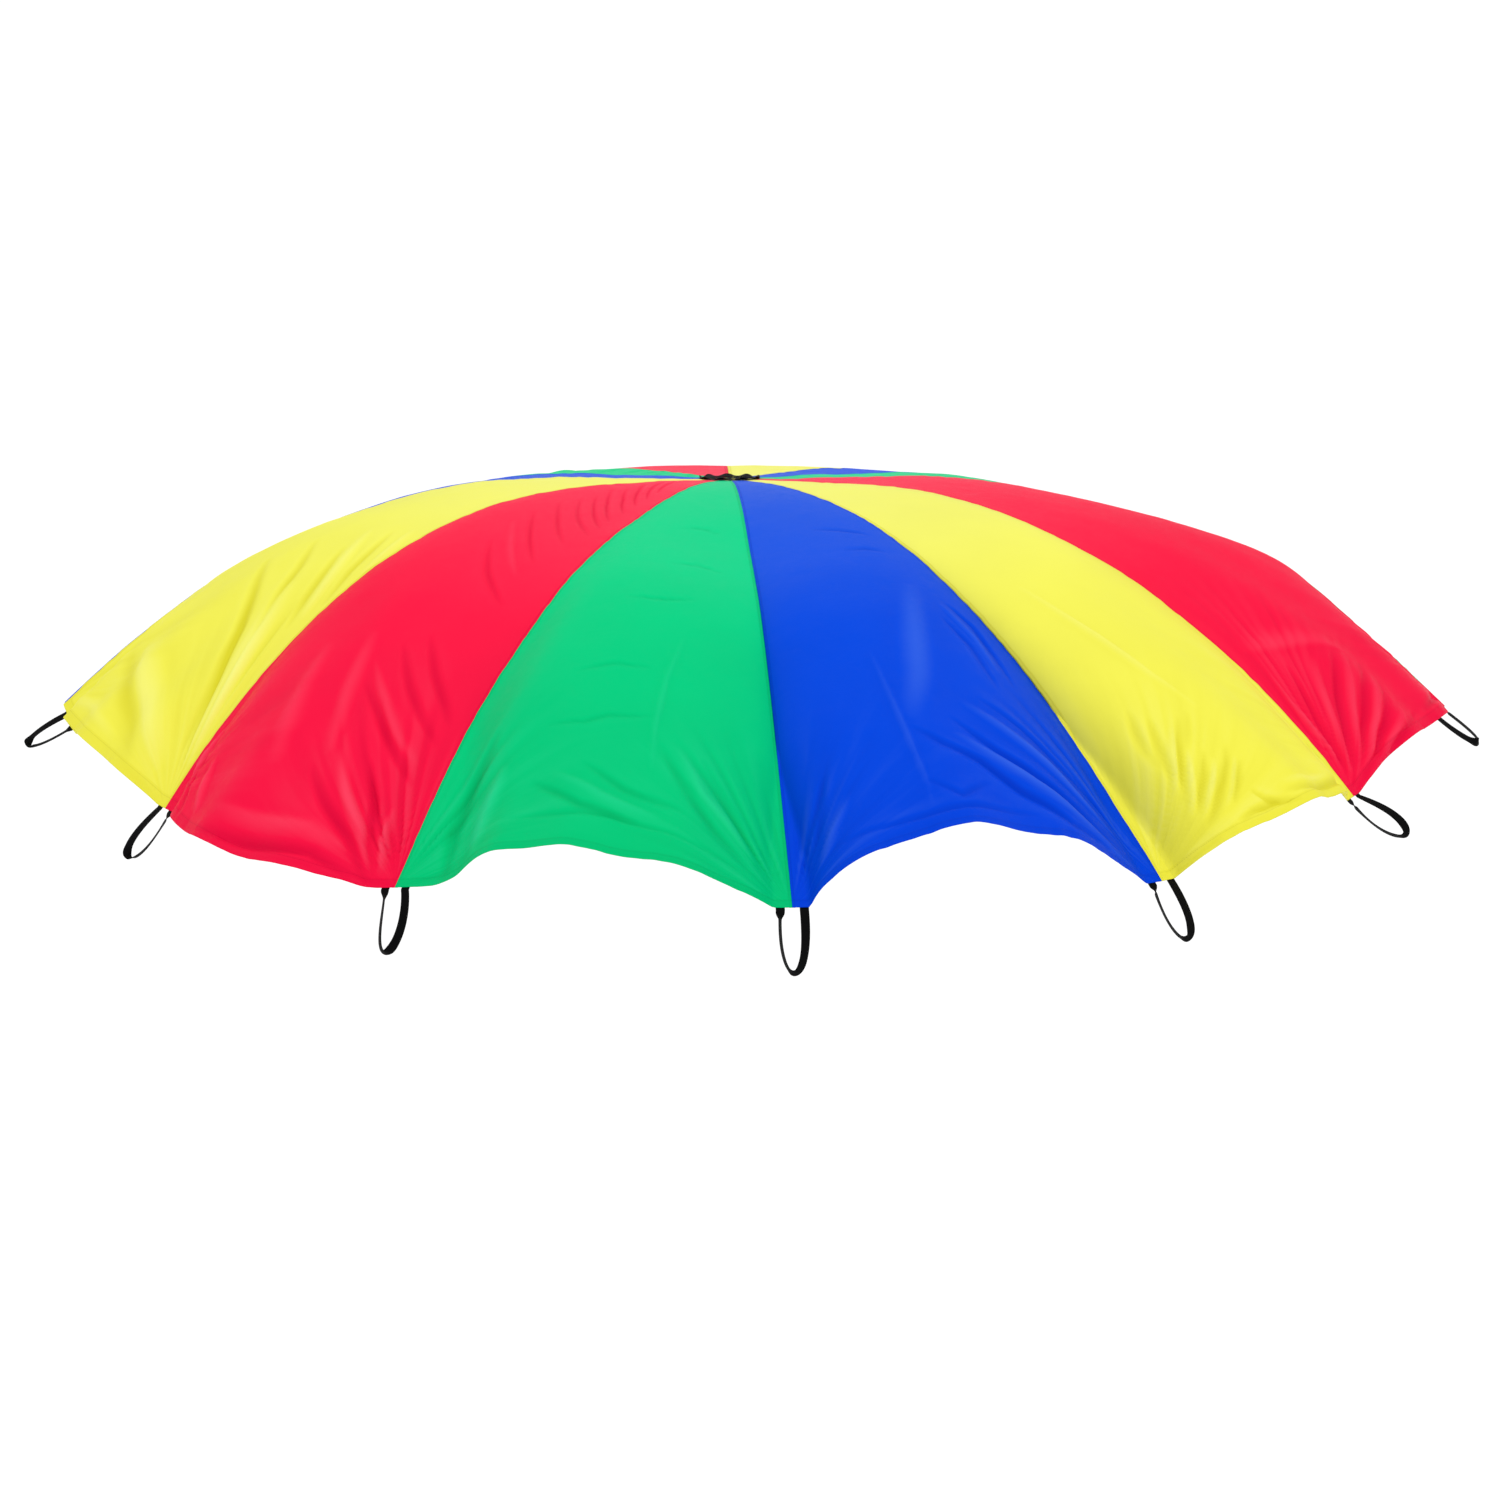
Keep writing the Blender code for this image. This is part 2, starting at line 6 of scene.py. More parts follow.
import bmesh
import bpy
import numpy as np
from mathutils import Matrix, Vector


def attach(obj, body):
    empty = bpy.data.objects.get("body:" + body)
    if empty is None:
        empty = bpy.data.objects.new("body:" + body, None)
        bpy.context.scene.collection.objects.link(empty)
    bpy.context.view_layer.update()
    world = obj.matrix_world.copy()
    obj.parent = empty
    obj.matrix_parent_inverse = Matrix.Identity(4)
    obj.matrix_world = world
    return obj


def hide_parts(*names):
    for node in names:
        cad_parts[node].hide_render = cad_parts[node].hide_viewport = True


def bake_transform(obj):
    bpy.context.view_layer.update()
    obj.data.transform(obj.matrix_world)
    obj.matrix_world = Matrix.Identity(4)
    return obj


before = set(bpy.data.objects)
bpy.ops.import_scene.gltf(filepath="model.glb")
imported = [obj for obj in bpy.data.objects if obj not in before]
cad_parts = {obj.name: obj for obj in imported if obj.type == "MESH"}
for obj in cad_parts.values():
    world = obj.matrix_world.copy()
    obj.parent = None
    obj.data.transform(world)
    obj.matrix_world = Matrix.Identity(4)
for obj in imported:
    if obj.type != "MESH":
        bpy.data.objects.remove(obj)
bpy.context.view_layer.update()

# ---- the solids' own shape
RIM_RADIUS = 1.69
DOME_HEIGHT = 0.543
HUB = np.array((-0.029 * RIM_RADIUS, 0.096 * RIM_RADIUS, DOME_HEIGHT))
LEAN_SHARE = 0.146
LEAN_TURN = math.radians(-2.9)
CROWN_SHARE = 0.2
DOME_POWER = 2.36
PUFF_START_SHARE = 0.06
HILL_SHARE = 0.13
# Hills and hollows of the dome: place, spread and rise in shares of the rim's radius.
HILL_SHARES = ((-0.427, -0.19, 0.3, 0.007), (0.25, -0.11, 0.26, 0.0085),
               (0.48, 0.08, 0.18, -0.011), (0.775, 0.04, 0.09, 0.01),
               (-0.85, 0.17, 0.13, -0.022), (-0.66, 0.18, 0.13, -0.013),
               (-0.97, 0.15, 0.09, -0.02), (-0.387, -0.635, 0.2, 0.014),
               (0.6, 0.17, 0.12, -0.011), (0.8, 0.16, 0.12, -0.013),
               (0.93, 0.1, 0.11, -0.011), (-0.149, -0.148, 0.16, -0.007),
               (0.06, -0.08, 0.13, -0.0028), (-0.03, -0.3, 0.14, -0.0184),
               (-0.26, -0.06, 0.13, 0.0022), (0.79, 0.04, 0.08, 0.004),
               (0.87, 0.05, 0.07, 0.003), (0.66, 0.08, 0.1, 0.0064),
               (0.3, 0.16, 0.08, 0.006), (0.52, 0.1, 0.09, 0.0027),
               (-0.372, -0.93, 0.05, 0.01))
# At each seam, 1 to 12: the rim's radius and lift, and the swell between crown and rim.
RIM_RADIUS_SHARES = (0.996, 0.952, 1.014, 1.004, 0.984, 0.93,
                     1.013, 0.965, 0.98, 0.99, 0.97, 0.96)
RIM_LIFT_SHARES = (0.022, -0.002, 0.001, 0.007, -0.011, -0.011,
                   -0.006, 0.004, 0.008, -0.006, -0.009, 0.005)
PUFF_SHARES = (0.006, -0.009, -0.083, -0.11, -0.076, -0.02,
               0.012, 0.002, 0.001, 0.001, 0.003, 0.005)
# In each gore, 1 to 12: how far its hem's middle billows out and up, and the arch's form.
HEM_OUT_SHARES = (0.004, 0.066, 0.04, 0.035, 0.072, 0.001,
                  0.0, 0.04, 0.065, 0.06, 0.045, -0.02)
HEM_UP_SHARES = (0.022, 0.02, 0.087, 0.113, 0.08, 0.036,
                 -0.02, -0.02, 0.01, 0.02, -0.01, -0.02)
HEM_SKEW_SHARES = (1.0, 1.0, 0.86, 0.82, 0.66, 0.89,
                   0.9, 1.05, 1.0, 0.95, 1.05, 1.0)
ARCH_START_POWERS = (0.8, 0.8, 1.5, 0.75, 1.0, 0.95, 2.0, 2.0, 0.8, 0.8, 2.0, 2.0)
ARCH_START_SHARE = 0.3
ARCH_END_POWERS = (0.8, 0.8, 0.8, 0.8, 0.9, 0.6, 2.0, 2.0, 0.8, 0.8, 2.0, 2.0)
ARCH_END_SHARE = 0.5
ARCH_SOFT_SHARE = 0.04
BILLOW_START_SHARE = 0.25
BILLOW_POWER = 1.5
ARCH_POWER = 0.8
SAG_POWER = 2.0
# The corners, which the handles pull straight.
CORNER_SHARE = 0.044
CORNER_TURN_SHARES = (-0.3, 0, 0, 0, 0, 0, 0.6, 0, 0, 0, 0, 0)
CORNER_TILT_SHARES = (-0.46, 0, 0.17, 0, 0, 0, 0.09, 0, 0, 0, 0, 0)
CORNER_STRETCHES = (0, 0, 0.05, 0, 0, 0, 0, 0, 0, 0, 0, 0)
CORNER_FADE_SHARE = 0.14
CORNER_START_SHARE = 0.75
CORNER_LENGTH = 0.062
FLUTE_DEPTH = 0.011
FLUTE_COUNT = 3
FLUTE_POWER = 5.0
GORES = 12
RIM_WIDTH = RIM_RADIUS * 2 * math.pi / GORES

# Cloth, vent and straps. The tables have a value for each handle, 1 to 12; angles are degrees.
CLOTH = 0.0012
HEM_WIDTH = 0.02
VENT_EDGE = 0.066
VENT_COLLAR = 0.08
NET_RADIUS = 0.0655
TAPE_INNER, TAPE_OUTER, TAPE_THICKNESS = 0.06, 0.0745, 0.001
FIT_GAP = 0.0003
STRAP_WIDTH = 0.02
STRAP_THICKNESS = 0.0016
LEG_SPACING = 0.052
LOOP_LENGTH = 0.136
LOOP_BULGE_SHARE = 0.35
TAIL_LENGTH = 0.046
PATCH_LENGTH = 0.022
TAIL_DROP = 0.0004
BEND_REACH = 0.006
TURN_FLAT_SHARE = 0.05
SWAY_POWER = 0.5
HANDLE_SHIFTS = (0.06, 0, 0, 0, 0, 0, -0.037, 0, 0, 0, 0, 0)
LOOP_LEANS = (60, 46, 12, 16, 42, 60, 56, 30, 25, 20, 30, 40)
LOOP_LENGTH_SHARES = (0.84, 1.0, 1.0, 1.0, 1.02, 1.06, 0.88, 1.0, 1.0, 1.0, 1.0, 1.0)
LOOP_TWISTS = (0, 35, 10, 0, -28, -68, 0, 20, 0, -20, 15, 0)
LOOP_SWAY_SHARES = (0.02, 0.05, -0.24, 0.02, 0.0, 0.08, 0.1, 0.05, -0.05, 0.0, 0.05, 0.0)
FLAT_LEGS = (-1, -1, 1, 1, 1, 1, -1, 1, -1, 1, -1, 1)
STRAP_TURNS = ((10, -65, -28), (10, -50, -76), (0, -55, -50), (-30, -50, -76),
               (-20, -65, -92), (-20, -55, -78), (10, 65, 44)) + ((12, 60, 66),) * 5
# How the thin leg is turned near the hem, and where it is sewn: a half turn is flat again.
HEM_TURNS = ((-28, 0), (-48, 0), (-50, 0), (-76, 0), (-106, -180), (-125, -180),
             (44, 0)) + ((66, 0),) * 5


def heading(seam):
    """A seam's direction seen from above."""
    return np.radians(360 / GORES) * seam - np.pi / 2


def outward(angle):
    angle = np.asarray(angle, float)
    return np.stack((np.sin(angle), -np.cos(angle), 0 * angle), axis=-1)


def ease(w):
    return w * w * (3 - 2 * w)


def ramp(value, low, high):
    """0 below low, 1 above high, smooth between."""
    return ease(np.clip((value - low) / (high - low), 0, 1))


def between_seams(table, gore, w):
    """From a gore's value at its one seam to that at its other."""
    low, high = table[gore % GORES], table[(gore + 1) % GORES]
    return low + (high - low) * ease(w)


def fall(t):
    """How far down its height the dome is, t of the way to the rim."""
    return (np.maximum(0, t - CROWN_SHARE) / (1 - CROWN_SHARE)) ** DOME_POWER


def puff(t):
    """A swell from 0 at its start to 1 at two thirds of the way and 0 at the rim."""
    s = np.maximum(0, t - PUFF_START_SHARE) / (1 - PUFF_START_SHARE)
    return 27 / 4 * s * s * (1 - s)


def dome_point(gore, w, t):
    """The dome without billows, at share w across a gore and t of the way to the rim."""
    w, t = np.asarray(w, float), np.asarray(t, float)
    rim = outward(heading(gore + w))
    rim = rim * (RIM_RADIUS * between_seams(RIM_RADIUS_SHARES, gore, w))[..., None]
    point = HUB * (1 - t)[..., None] + rim * t[..., None]
    lean = LEAN_SHARE * (point - HUB) @ outward(LEAN_TURN)
    lift = between_seams(RIM_LIFT_SHARES, gore, w) * RIM_RADIUS * fall(t)
    swell = between_seams(PUFF_SHARES, gore, w) * RIM_RADIUS * puff(t)
    point[..., 2] = (1 - fall(t)) * (DOME_HEIGHT + lean) + lift + swell
    grown = ramp(t, PUFF_START_SHARE, HILL_SHARE)
    for x, y, spread, rise in HILL_SHARES:
        away = np.hypot(point[..., 0] / RIM_RADIUS - x, point[..., 1] / RIM_RADIUS - y)
        point[..., 2] += grown * rise * RIM_RADIUS * np.exp(-((away / spread) ** 2))
    return point


def unit(vectors):
    return vectors / np.linalg.norm(vectors, axis=-1, keepdims=True)


def dome_normal(gore, w, t):
    step = 1 / 512
    run = dome_point(gore, w, t + step) - dome_point(gore, w, t - step)
    across = dome_point(gore, w + step, t) - dome_point(gore, w - step, t)
    return unit(np.cross(run, across))


def corner_extra(seam, side):
    """By how much a corner is wider on one side, in shares of the gore's width."""
    shift = HANDLE_SHIFTS[seam % GORES] + CORNER_STRETCHES[seam % GORES]
    return max(0.0, side * shift) / RIM_WIDTH


def corner_growth(t):
    """0 until a corner starts, 1 where the handle is sewn."""
    return ramp(t, CORNER_START_SHARE, 1 - CORNER_LENGTH / RIM_RADIUS)


def past_corner(gore, w, t):
    """The share across a gore between its two straight corners."""
    low = (CORNER_SHARE + corner_extra(gore, 1)) * corner_growth(t)
    high = (CORNER_SHARE + corner_extra(gore + 1, -1)) * corner_growth(t)
    return np.clip((w - low) / (1 - low - high), 0, 1)


def arch(gore, w, t):
    """A billow's share across a gore: 0 at the corners, 1 at its top."""
    s = past_corner(gore, w, t) ** HEM_SKEW_SHARES[gore]
    power = ARCH_POWER if HEM_UP_SHARES[gore] > 0 else SAG_POWER
    begun = ramp(s, 0, ARCH_START_SHARE)
    power = ARCH_START_POWERS[gore] * (1 - begun) + power * begun
    ended = ramp(1 - s, 0, ARCH_END_SHARE)
    power = ARCH_END_POWERS[gore] * (1 - ended) + power * ended
    soft = np.hypot(np.sin(np.pi * s), ARCH_SOFT_SHARE) - ARCH_SOFT_SHARE
    soft = np.maximum(0, soft) / (math.hypot(1, ARCH_SOFT_SHARE) - ARCH_SOFT_SHARE)
    return soft ** power


def corner_pull(gore, w, t):
    """How far a point near a handle is moved where its corner is pulled askew."""
    moved = np.zeros(np.broadcast(w, t).shape + (3,))
    for seam, past, side in ((gore, w, 1), ((gore + 1) % GORES, w - 1, -1)):
        slope = outward(heading(seam)) * CORNER_TURN_SHARES[seam]
        slope = slope + np.array((0, 0, CORNER_TILT_SHARES[seam]))
        if not slope.any():
            continue
        near = (w < 1 / 2 if side > 0 else w >= 1 / 2) & (HANDLE_SHIFTS[seam] * past >= 0)
        reach = CORNER_FADE_SHARE + corner_extra(seam, side) - np.abs(past)
        fade = ease(np.clip(reach / (CORNER_FADE_SHARE - CORNER_SHARE), 0, 1))
        moved += slope * (near * past * RIM_WIDTH * fade * corner_growth(t))[..., None]
    return moved


def canopy_point(gore, w, t):
    """The middle layer of the cloth, as the solids have it."""
    w, t = np.asarray(w, float), np.asarray(t, float)
    point = dome_point(gore, w, t) + corner_pull(gore, w, t)
    grown = (np.maximum(0, t - BILLOW_START_SHARE) / (1 - BILLOW_START_SHARE)) ** BILLOW_POWER
    rise = (grown * arch(gore, w, t) * RIM_RADIUS)[..., None]
    out = outward(heading(gore + w)) * HEM_OUT_SHARES[gore]
    point = point + (out + np.array((0, 0, HEM_UP_SHARES[gore]))) * rise
    s = past_corner(gore, w, t)
    flute = FLUTE_DEPTH * np.sin(2 * np.pi * FLUTE_COUNT * s) * np.sin(np.pi * s)
    return point + dome_normal(gore, w, t) * (flute * t ** FLUTE_POWER)[..., None]


def seam_length(gore, w):
    """From the vent's centre to the hem in plan."""
    rim = dome_point(gore, w, np.ones_like(np.asarray(w, float)))
    return np.hypot(rim[..., 0] - HUB[0], rim[..., 1] - HUB[1])


# ---- folds in the cloth
def lumps(x, y, seed):
    """Smooth random hills and hollows from -1 to 1, one for each unit square."""
    count = 64
    table = np.random.default_rng(seed).uniform(-1, 1, (count, count))
    i, j = np.floor(x).astype(int), np.floor(y).astype(int)
    u, v = ease(x - i), ease(y - j)
    i, j = i % count, j % count
    i2, j2 = (i + 1) % count, (j + 1) % count
    low = table[i, j] * (1 - u) + table[i2, j] * u
    high = table[i, j2] * (1 - u) + table[i2, j2] * u
    return low * (1 - v) + high * v


CREASE_TAPER = 0.7  # below 1 for a fold that is full for most of its length
CREASE_END = 0.6  # its width there, in shares of its full width
FOOT_DEPTH, FOOT_WIDTH = 0.25, 2.2  # the hollow at a ridge's foot, in shares of the ridge


def crease(x, y, line, depth, width, bend):
    """A fold along a line of points (x, y): a ridge, or with a negative depth a valley, that
    fades out at both ends. A bend other than 0 makes one of its sides the steeper."""
    raised = np.zeros_like(x)
    line = np.array(line, float)
    steps = np.linalg.norm(np.diff(line, axis=0), axis=1)
    whole = steps.sum()
    start = 0.0
    best = np.full_like(x, 1e9)
    for (ax, ay), (bx, by), step in zip(line, line[1:], steps):
        ex, ey = (bx - ax) / step, (by - ay) / step
        along = np.clip((x - ax) * ex + (y - ay) * ey, 0, step)
        dx, dy = x - ax - along * ex, y - ay - along * ey
        gap = np.hypot(dx, dy)
        side = np.sign(dx * ey - dy * ex)
        share = (start + along) / whole
        taper = np.sin(np.pi * np.clip(share, 0, 1)) ** CREASE_TAPER
        reach = width * (1 + bend * side) * (CREASE_END + (1 - CREASE_END) * taper)
        foot = FOOT_DEPTH * np.exp(-(gap / reach / FOOT_WIDTH) ** 2)
        height = depth * taper * (np.exp(-(gap / reach) ** 2) - foot)
        raised = np.where(gap < best, height, raised)
        best = np.minimum(best, gap)
        start += step
    return raised


FAN_START, FAN_GROWTH = 0.02, 0.1  # metres from the corner, and over which they grow


def fan(x, y, reach, turns, count, depth, seed):
    """Pleats that spread from a handle: x and y are metres from its corner, across the seam and
    up the cloth, and turns are the two directions between which they lie, from the seam."""
    far = np.hypot(x, y)
    turn = np.degrees(np.arctan2(x, np.maximum(y, 1e-6)))
    low, high = turns
    share = (turn - low) / (high - low)
    window = np.sin(np.pi * np.clip(share, 0, 1)) ** 0.6
    grown = ramp(far, FAN_START, FAN_START + FAN_GROWTH)
    grown = grown * (1 - ramp(far, reach * 0.45, reach))
    wander = 0.9 * lumps(far * 5.0 + 7, share * 2.0 + 3, seed)
    phase = 2 * np.pi * count * share + wander
    strength = 0.55 + 0.45 * lumps(share * count, far * 3.0, seed + 1)
    crest = np.sin(phase) + 0.35 * np.sin(2 * phase + 1.0)
    return depth * grown * window * strength * crest


# Folds drawn gore by gore for the front gores, 0 to 5: points (across, up from the hem) in
# thousandths of the gore's width and length, then height (below 0 a valley) and width in tenths
# of a millimetre, and which side is the steeper. The back gores have the same folds, mirrored.
FOLDS = (
    # yellow, left
    ((((900, 50), (850, 90), (800, 130), (690, 190), (540, 240), (350, 290)), -90, 160, 0.3),
     (((960, 40), (910, 100), (870, 140), (780, 210), (660, 280)), 80, 240, 0),
     (((800, 190), (670, 260), (590, 300), (440, 350)), -60, 130, 0.3),
     (((930, 240), (860, 290), (800, 330), (720, 370), (620, 410)), 60, 150, -0.3),
     (((950, 270), (870, 330), (830, 370), (760, 420)), -55, 110, 0.3),
     (((900, 220), (820, 270), (740, 320), (660, 360)), -50, 110, 0.3),
     (((970, 330), (920, 390), (860, 440)), 45, 120, 0),
     (((300, 120), (530, 80), (720, 50), (860, 20)), 70, 300, -0.3),
     (((200, 100), (440, 70), (600, 40), (750, 10)), -60, 240, 0),
     (((100, 20), (350, 30), (600, 20)), 40, 120, 0)),
    # red, left
    ((((10, 0), (60, 30), (50, 60), (70, 100)), 120, 120, 0.4),
     (((200, 10), (150, 30), (120, 50), (110, 80)), -120, 120, -0.4),
     (((300, 20), (240, 40), (200, 70)), 70, 140, 0),
     (((970, 0), (860, 50), (750, 80), (620, 120)), -80, 130, 0.3),
     (((970, 10), (900, 50), (800, 100), (660, 170)), 70, 150, 0),
     (((970, 10), (920, 50), (880, 100), (800, 150)), -80, 100, 0.3),
     (((980, 20), (950, 60), (940, 100)), 80, 100, 0.3),
     (((680, 340), (820, 290), (930, 250), (990, 220)), -60, 110, -0.3),
     (((600, 310), (760, 260), (890, 220), (980, 190)), -60, 110, -0.3),
     (((550, 270), (720, 230), (840, 190), (950, 160)), 50, 120, 0),
     (((580, 240), (720, 210), (850, 170), (970, 130)), -70, 110, -0.3),
     (((450, 300), (550, 220), (660, 140)), 50, 220, 0),
     (((300, 250), (400, 170), (500, 100)), 45, 300, 0),
     (((300, 660), (550, 640), (840, 610)), -40, 90, 0.2),
     (((320, 700), (600, 680), (950, 660)), -40, 90, 0.2),
     (((240, 760), (550, 750), (950, 720)), -45, 80, 0.2),
     (((340, 730), (620, 715), (960, 690)), -45, 80, 0.2),
     (((300, 790), (600, 785), (960, 760)), -45, 70, 0.2),
     (((220, 850), (550, 850), (950, 835)), -40, 60, 0.2),
     (((340, 610), (560, 580), (820, 540)), -45, 90, 0.2),
     (((360, 570), (560, 540), (800, 500)), 40, 110, 0.2),
     (((420, 520), (620, 480), (880, 440)), -45, 110, 0.2),
     (((200, 820), (500, 820), (950, 800)), -45, 70, 0.2),
     (((200, 880), (550, 880), (900, 870)), -35, 50, 0.2),
     (((360, 5), (550, 12), (700, 16), (790, 20), (920, 5)), -85, 120, -0.4),
     (((400, 35), (600, 45), (750, 50), (880, 35)), 50, 180, 0.3)),
    # green
    ((((360, 490), (540, 500), (740, 520)), -28, 60, 0.3),
     (((280, 200), (410, 210), (480, 230), (640, 250)), -32, 70, 0.3),
     (((700, 420), (650, 320), (640, 230), (650, 150)), 32, 70, 0.2),
     (((300, 110), (470, 70), (640, 60)), -60, 120, 0.2),
     (((360, 120), (520, 90), (700, 70)), 50, 130, 0.2),
     (((440, 140), (580, 110), (760, 90)), -45, 110, 0.2),
     (((720, 200), (810, 130), (880, 100), (970, 50)), 50, 140, 0),
     (((800, 190), (910, 110), (980, 40)), -50, 120, 0),
     (((660, 200), (740, 140), (840, 80), (940, 40)), -50, 130, 0),
     (((240, 50), (430, 50), (560, 60), (710, 50), (820, 40), (950, 30)), -40, 80, -0.3),
     (((100, 0), (70, 70), (80, 120), (110, 200)), -80, 200, 0),
     (((190, 10), (170, 70), (190, 140)), 80, 240, 0),
     (((300, 300), (440, 330), (600, 340)), -25, 70, 0.2),
     (((500, 620), (700, 630), (900, 620)), -25, 60, 0.2),
     (((400, 760), (650, 770), (900, 760)), -25, 60, 0.2)),
    # blue
    ((((350, 360), (350, 250), (350, 160), (350, 80), (340, 40)), 35, 80, 0.3),
     (((780, 500), (590, 380), (490, 290), (380, 200)), 70, 340, 0),
     (((370, 190), (450, 150), (550, 120), (640, 70), (760, 30), (900, 20)), -90, 140, 0.3),
     (((500, 170), (600, 130), (700, 85), (800, 50), (920, 20)), 80, 160, 0),
     (((520, 200), (630, 140), (720, 100), (810, 70), (920, 30)), -80, 120, 0.3),
     (((600, 230), (720, 170), (820, 120), (930, 50)), 70, 150, 0),
     (((670, 240), (780, 190), (860, 140), (950, 90), (980, 40)), -70, 130, 0.3),
     (((900, 460), (950, 400), (930, 340), (900, 270)), -50, 90, 0.3),
     (((800, 420), (830, 350), (800, 260)), -45, 100, 0.3),
     (((860, 450), (890, 370), (860, 290)), 45, 100, 0),
     (((500, 730), (740, 700), (930, 660)), -30, 70, 0.2),
     (((580, 630), (740, 620), (880, 600)), -30, 70, 0.2),
     (((350, 90), (430, 50), (540, 80)), -45, 90, 0),
     (((60, 40), (180, 35), (320, 30), (460, 30), (660, 30)), -50, 90, -0.3),
     (((30, 30), (70, 70), (130, 110)), 60, 120, 0),
     (((20, 50), (40, 100), (70, 160)), -50, 110, 0)),
    # yellow, right
    ((((200, 450), (250, 350), (280, 280), (300, 230), (340, 160)), 40, 100, 0.3),
     (((110, 200), (85, 169), (77, 147), (70, 120)), -50, 100, 0.2),
     (((150, 180), (120, 144), (100, 119), (85, 90)), -60, 100, 0.2),
     (((190, 155), (127, 121), (97, 96), (80, 70)), 55, 90, 0),
     (((250, 165), (178, 133), (139, 110), (112, 91), (80, 60)), -65, 90, 0.2),
     (((290, 165), (220, 135), (180, 118)), -35, 90, 0),
     (((180, 125), (135, 91), (112, 71), (70, 40)), 60, 80, 0),
     (((230, 112), (166, 81), (127, 66), (90, 40)), -65, 80, 0.2),
     (((240, 100), (174, 72), (127, 51), (90, 35)), 60, 80, 0),
     (((310, 105), (263, 83), (205, 64), (147, 46), (90, 24)), -70, 90, 0.2),
     (((300, 85), (205, 51), (143, 32)), 55, 80, 0),
     (((310, 80), (247, 58), (181, 35)), -50, 80, 0.2),
     (((260, 42), (282, 24), (320, 14)), -70, 90, 0),
     (((160, 12), (220, 16), (300, 14), (380, 6)), -80, 80, -0.4),
     (((340, 22), (420, 16), (500, 13), (650, 12), (930, 12)), -80, 90, -0.4),
     (((360, 34), (500, 26), (680, 24)), 45, 100, 0.3)),
    # red, right
    ((((60, 190), (180, 175), (320, 160), (420, 140), (520, 110)), 40, 240, -0.5),
     (((35, 10), (54, 49), (58, 81), (62, 113), (85, 150)), 60, 80, 0),
     (((40, 12), (69, 45), (97, 79), (139, 110), (190, 145)), -70, 90, 0.2),
     (((50, 12), (100, 39), (158, 72), (236, 101), (330, 135)), 65, 100, 0),
     (((55, 12), (116, 35), (212, 66), (320, 97), (430, 130)), -70, 110, 0.2),
     (((60, 10), (143, 29), (247, 53), (363, 88), (470, 118)), 65, 110, 0),
     (((70, 8), (170, 22), (290, 45), (386, 71), (530, 100)), -70, 110, 0.2),
     (((75, 7), (201, 17), (320, 38), (425, 64), (500, 80)), 65, 100, 0),
     (((80, 5), (220, 11), (336, 28), (429, 49), (520, 70)), -65, 90, 0.2),
     (((100, 1), (239, 4), (359, 16), (486, 33)), 60, 90, 0),
     (((120, 0), (260, 0), (394, 9), (587, 21)), -60, 80, 0),
     (((600, 15), (750, 20), (920, 20)), -90, 100, -0.3)),
)
# Fine pleats at each front handle, 1 to 7: first and last direction from the seam in degrees,
# how many, how far they reach and how deep they are, in metres.
FANS = (
    (((4, 70), 5, 0.3, 0.004),),
    (((-38, -4), 4, 0.55, 0.004), ((6, 75), 6, 0.26, 0.005)),
    (((-60, -3), 7, 0.5, 0.0045), ((4, 40), 3, 0.45, 0.0035)),
    (((-50, -4), 5, 0.5, 0.0035), ((4, 50), 5, 0.36, 0.0035)),
    (((-55, -4), 5, 0.55, 0.004), ((4, 62), 8, 0.5, 0.0022)),
    (((-60, -4), 6, 0.3, 0.0045), ((3, 70), 13, 0.62, 0.0022)),
    (((-70, -4), 6, 0.36, 0.0045), ((4, 60), 6, 0.4, 0.0045)),
)
FOLD_GROWTH = 1.35  # by which the folds stand higher than their tables say
# Ripples all over the cloth: height in metres, how many to a metre, and seed.
RIPPLES = ((0.0035, 3.1, 5), (0.0016, 8.3, 6), (0.0005, 27, 7))
SEAM_GATHER = (0.0011, 0.02)  # height and reach of the small gathers beside a seam
HEM_GATHER = (0.0016, 0.03)  # the same above the hem
CALM_WIDTH, CALM_LENGTH, CALM_FADE = 0.03, 0.05, 0.035  # flat cloth over a handle's tails
CALM_ROUND_VENT = 0.06
FOLD_GAP = (0.001, 0.012)  # from a seam: where the folds start, and where they are full


def drawn_folds(gore):
    """A gore's folds in shares and metres, mirrored from the front for the back ones."""
    back = gore >= len(FOLDS)
    for line, height, wide, bend in FOLDS[GORES - 1 - gore if back else gore]:
        line = [((1000 - a if back else a) / 1000, b / 1000) for a, b in line]
        yield line, height / 10000, wide / 10000, -bend if back else bend


def drawn_fans(seam):
    """The fans at a handle, mirrored from the front for the back ones."""
    if seam < len(FANS):
        return FANS[seam]
    return tuple(((-high, -low), *rest) for (low, high), *rest in FANS[GORES - seam])


def gathers(along, row, seed, away, height, reach):
    """Small gathers along a row of stitches, gone this far from it."""
    return height * lumps(along, np.full_like(along, row), seed) * np.exp(-(away / reach) ** 2)


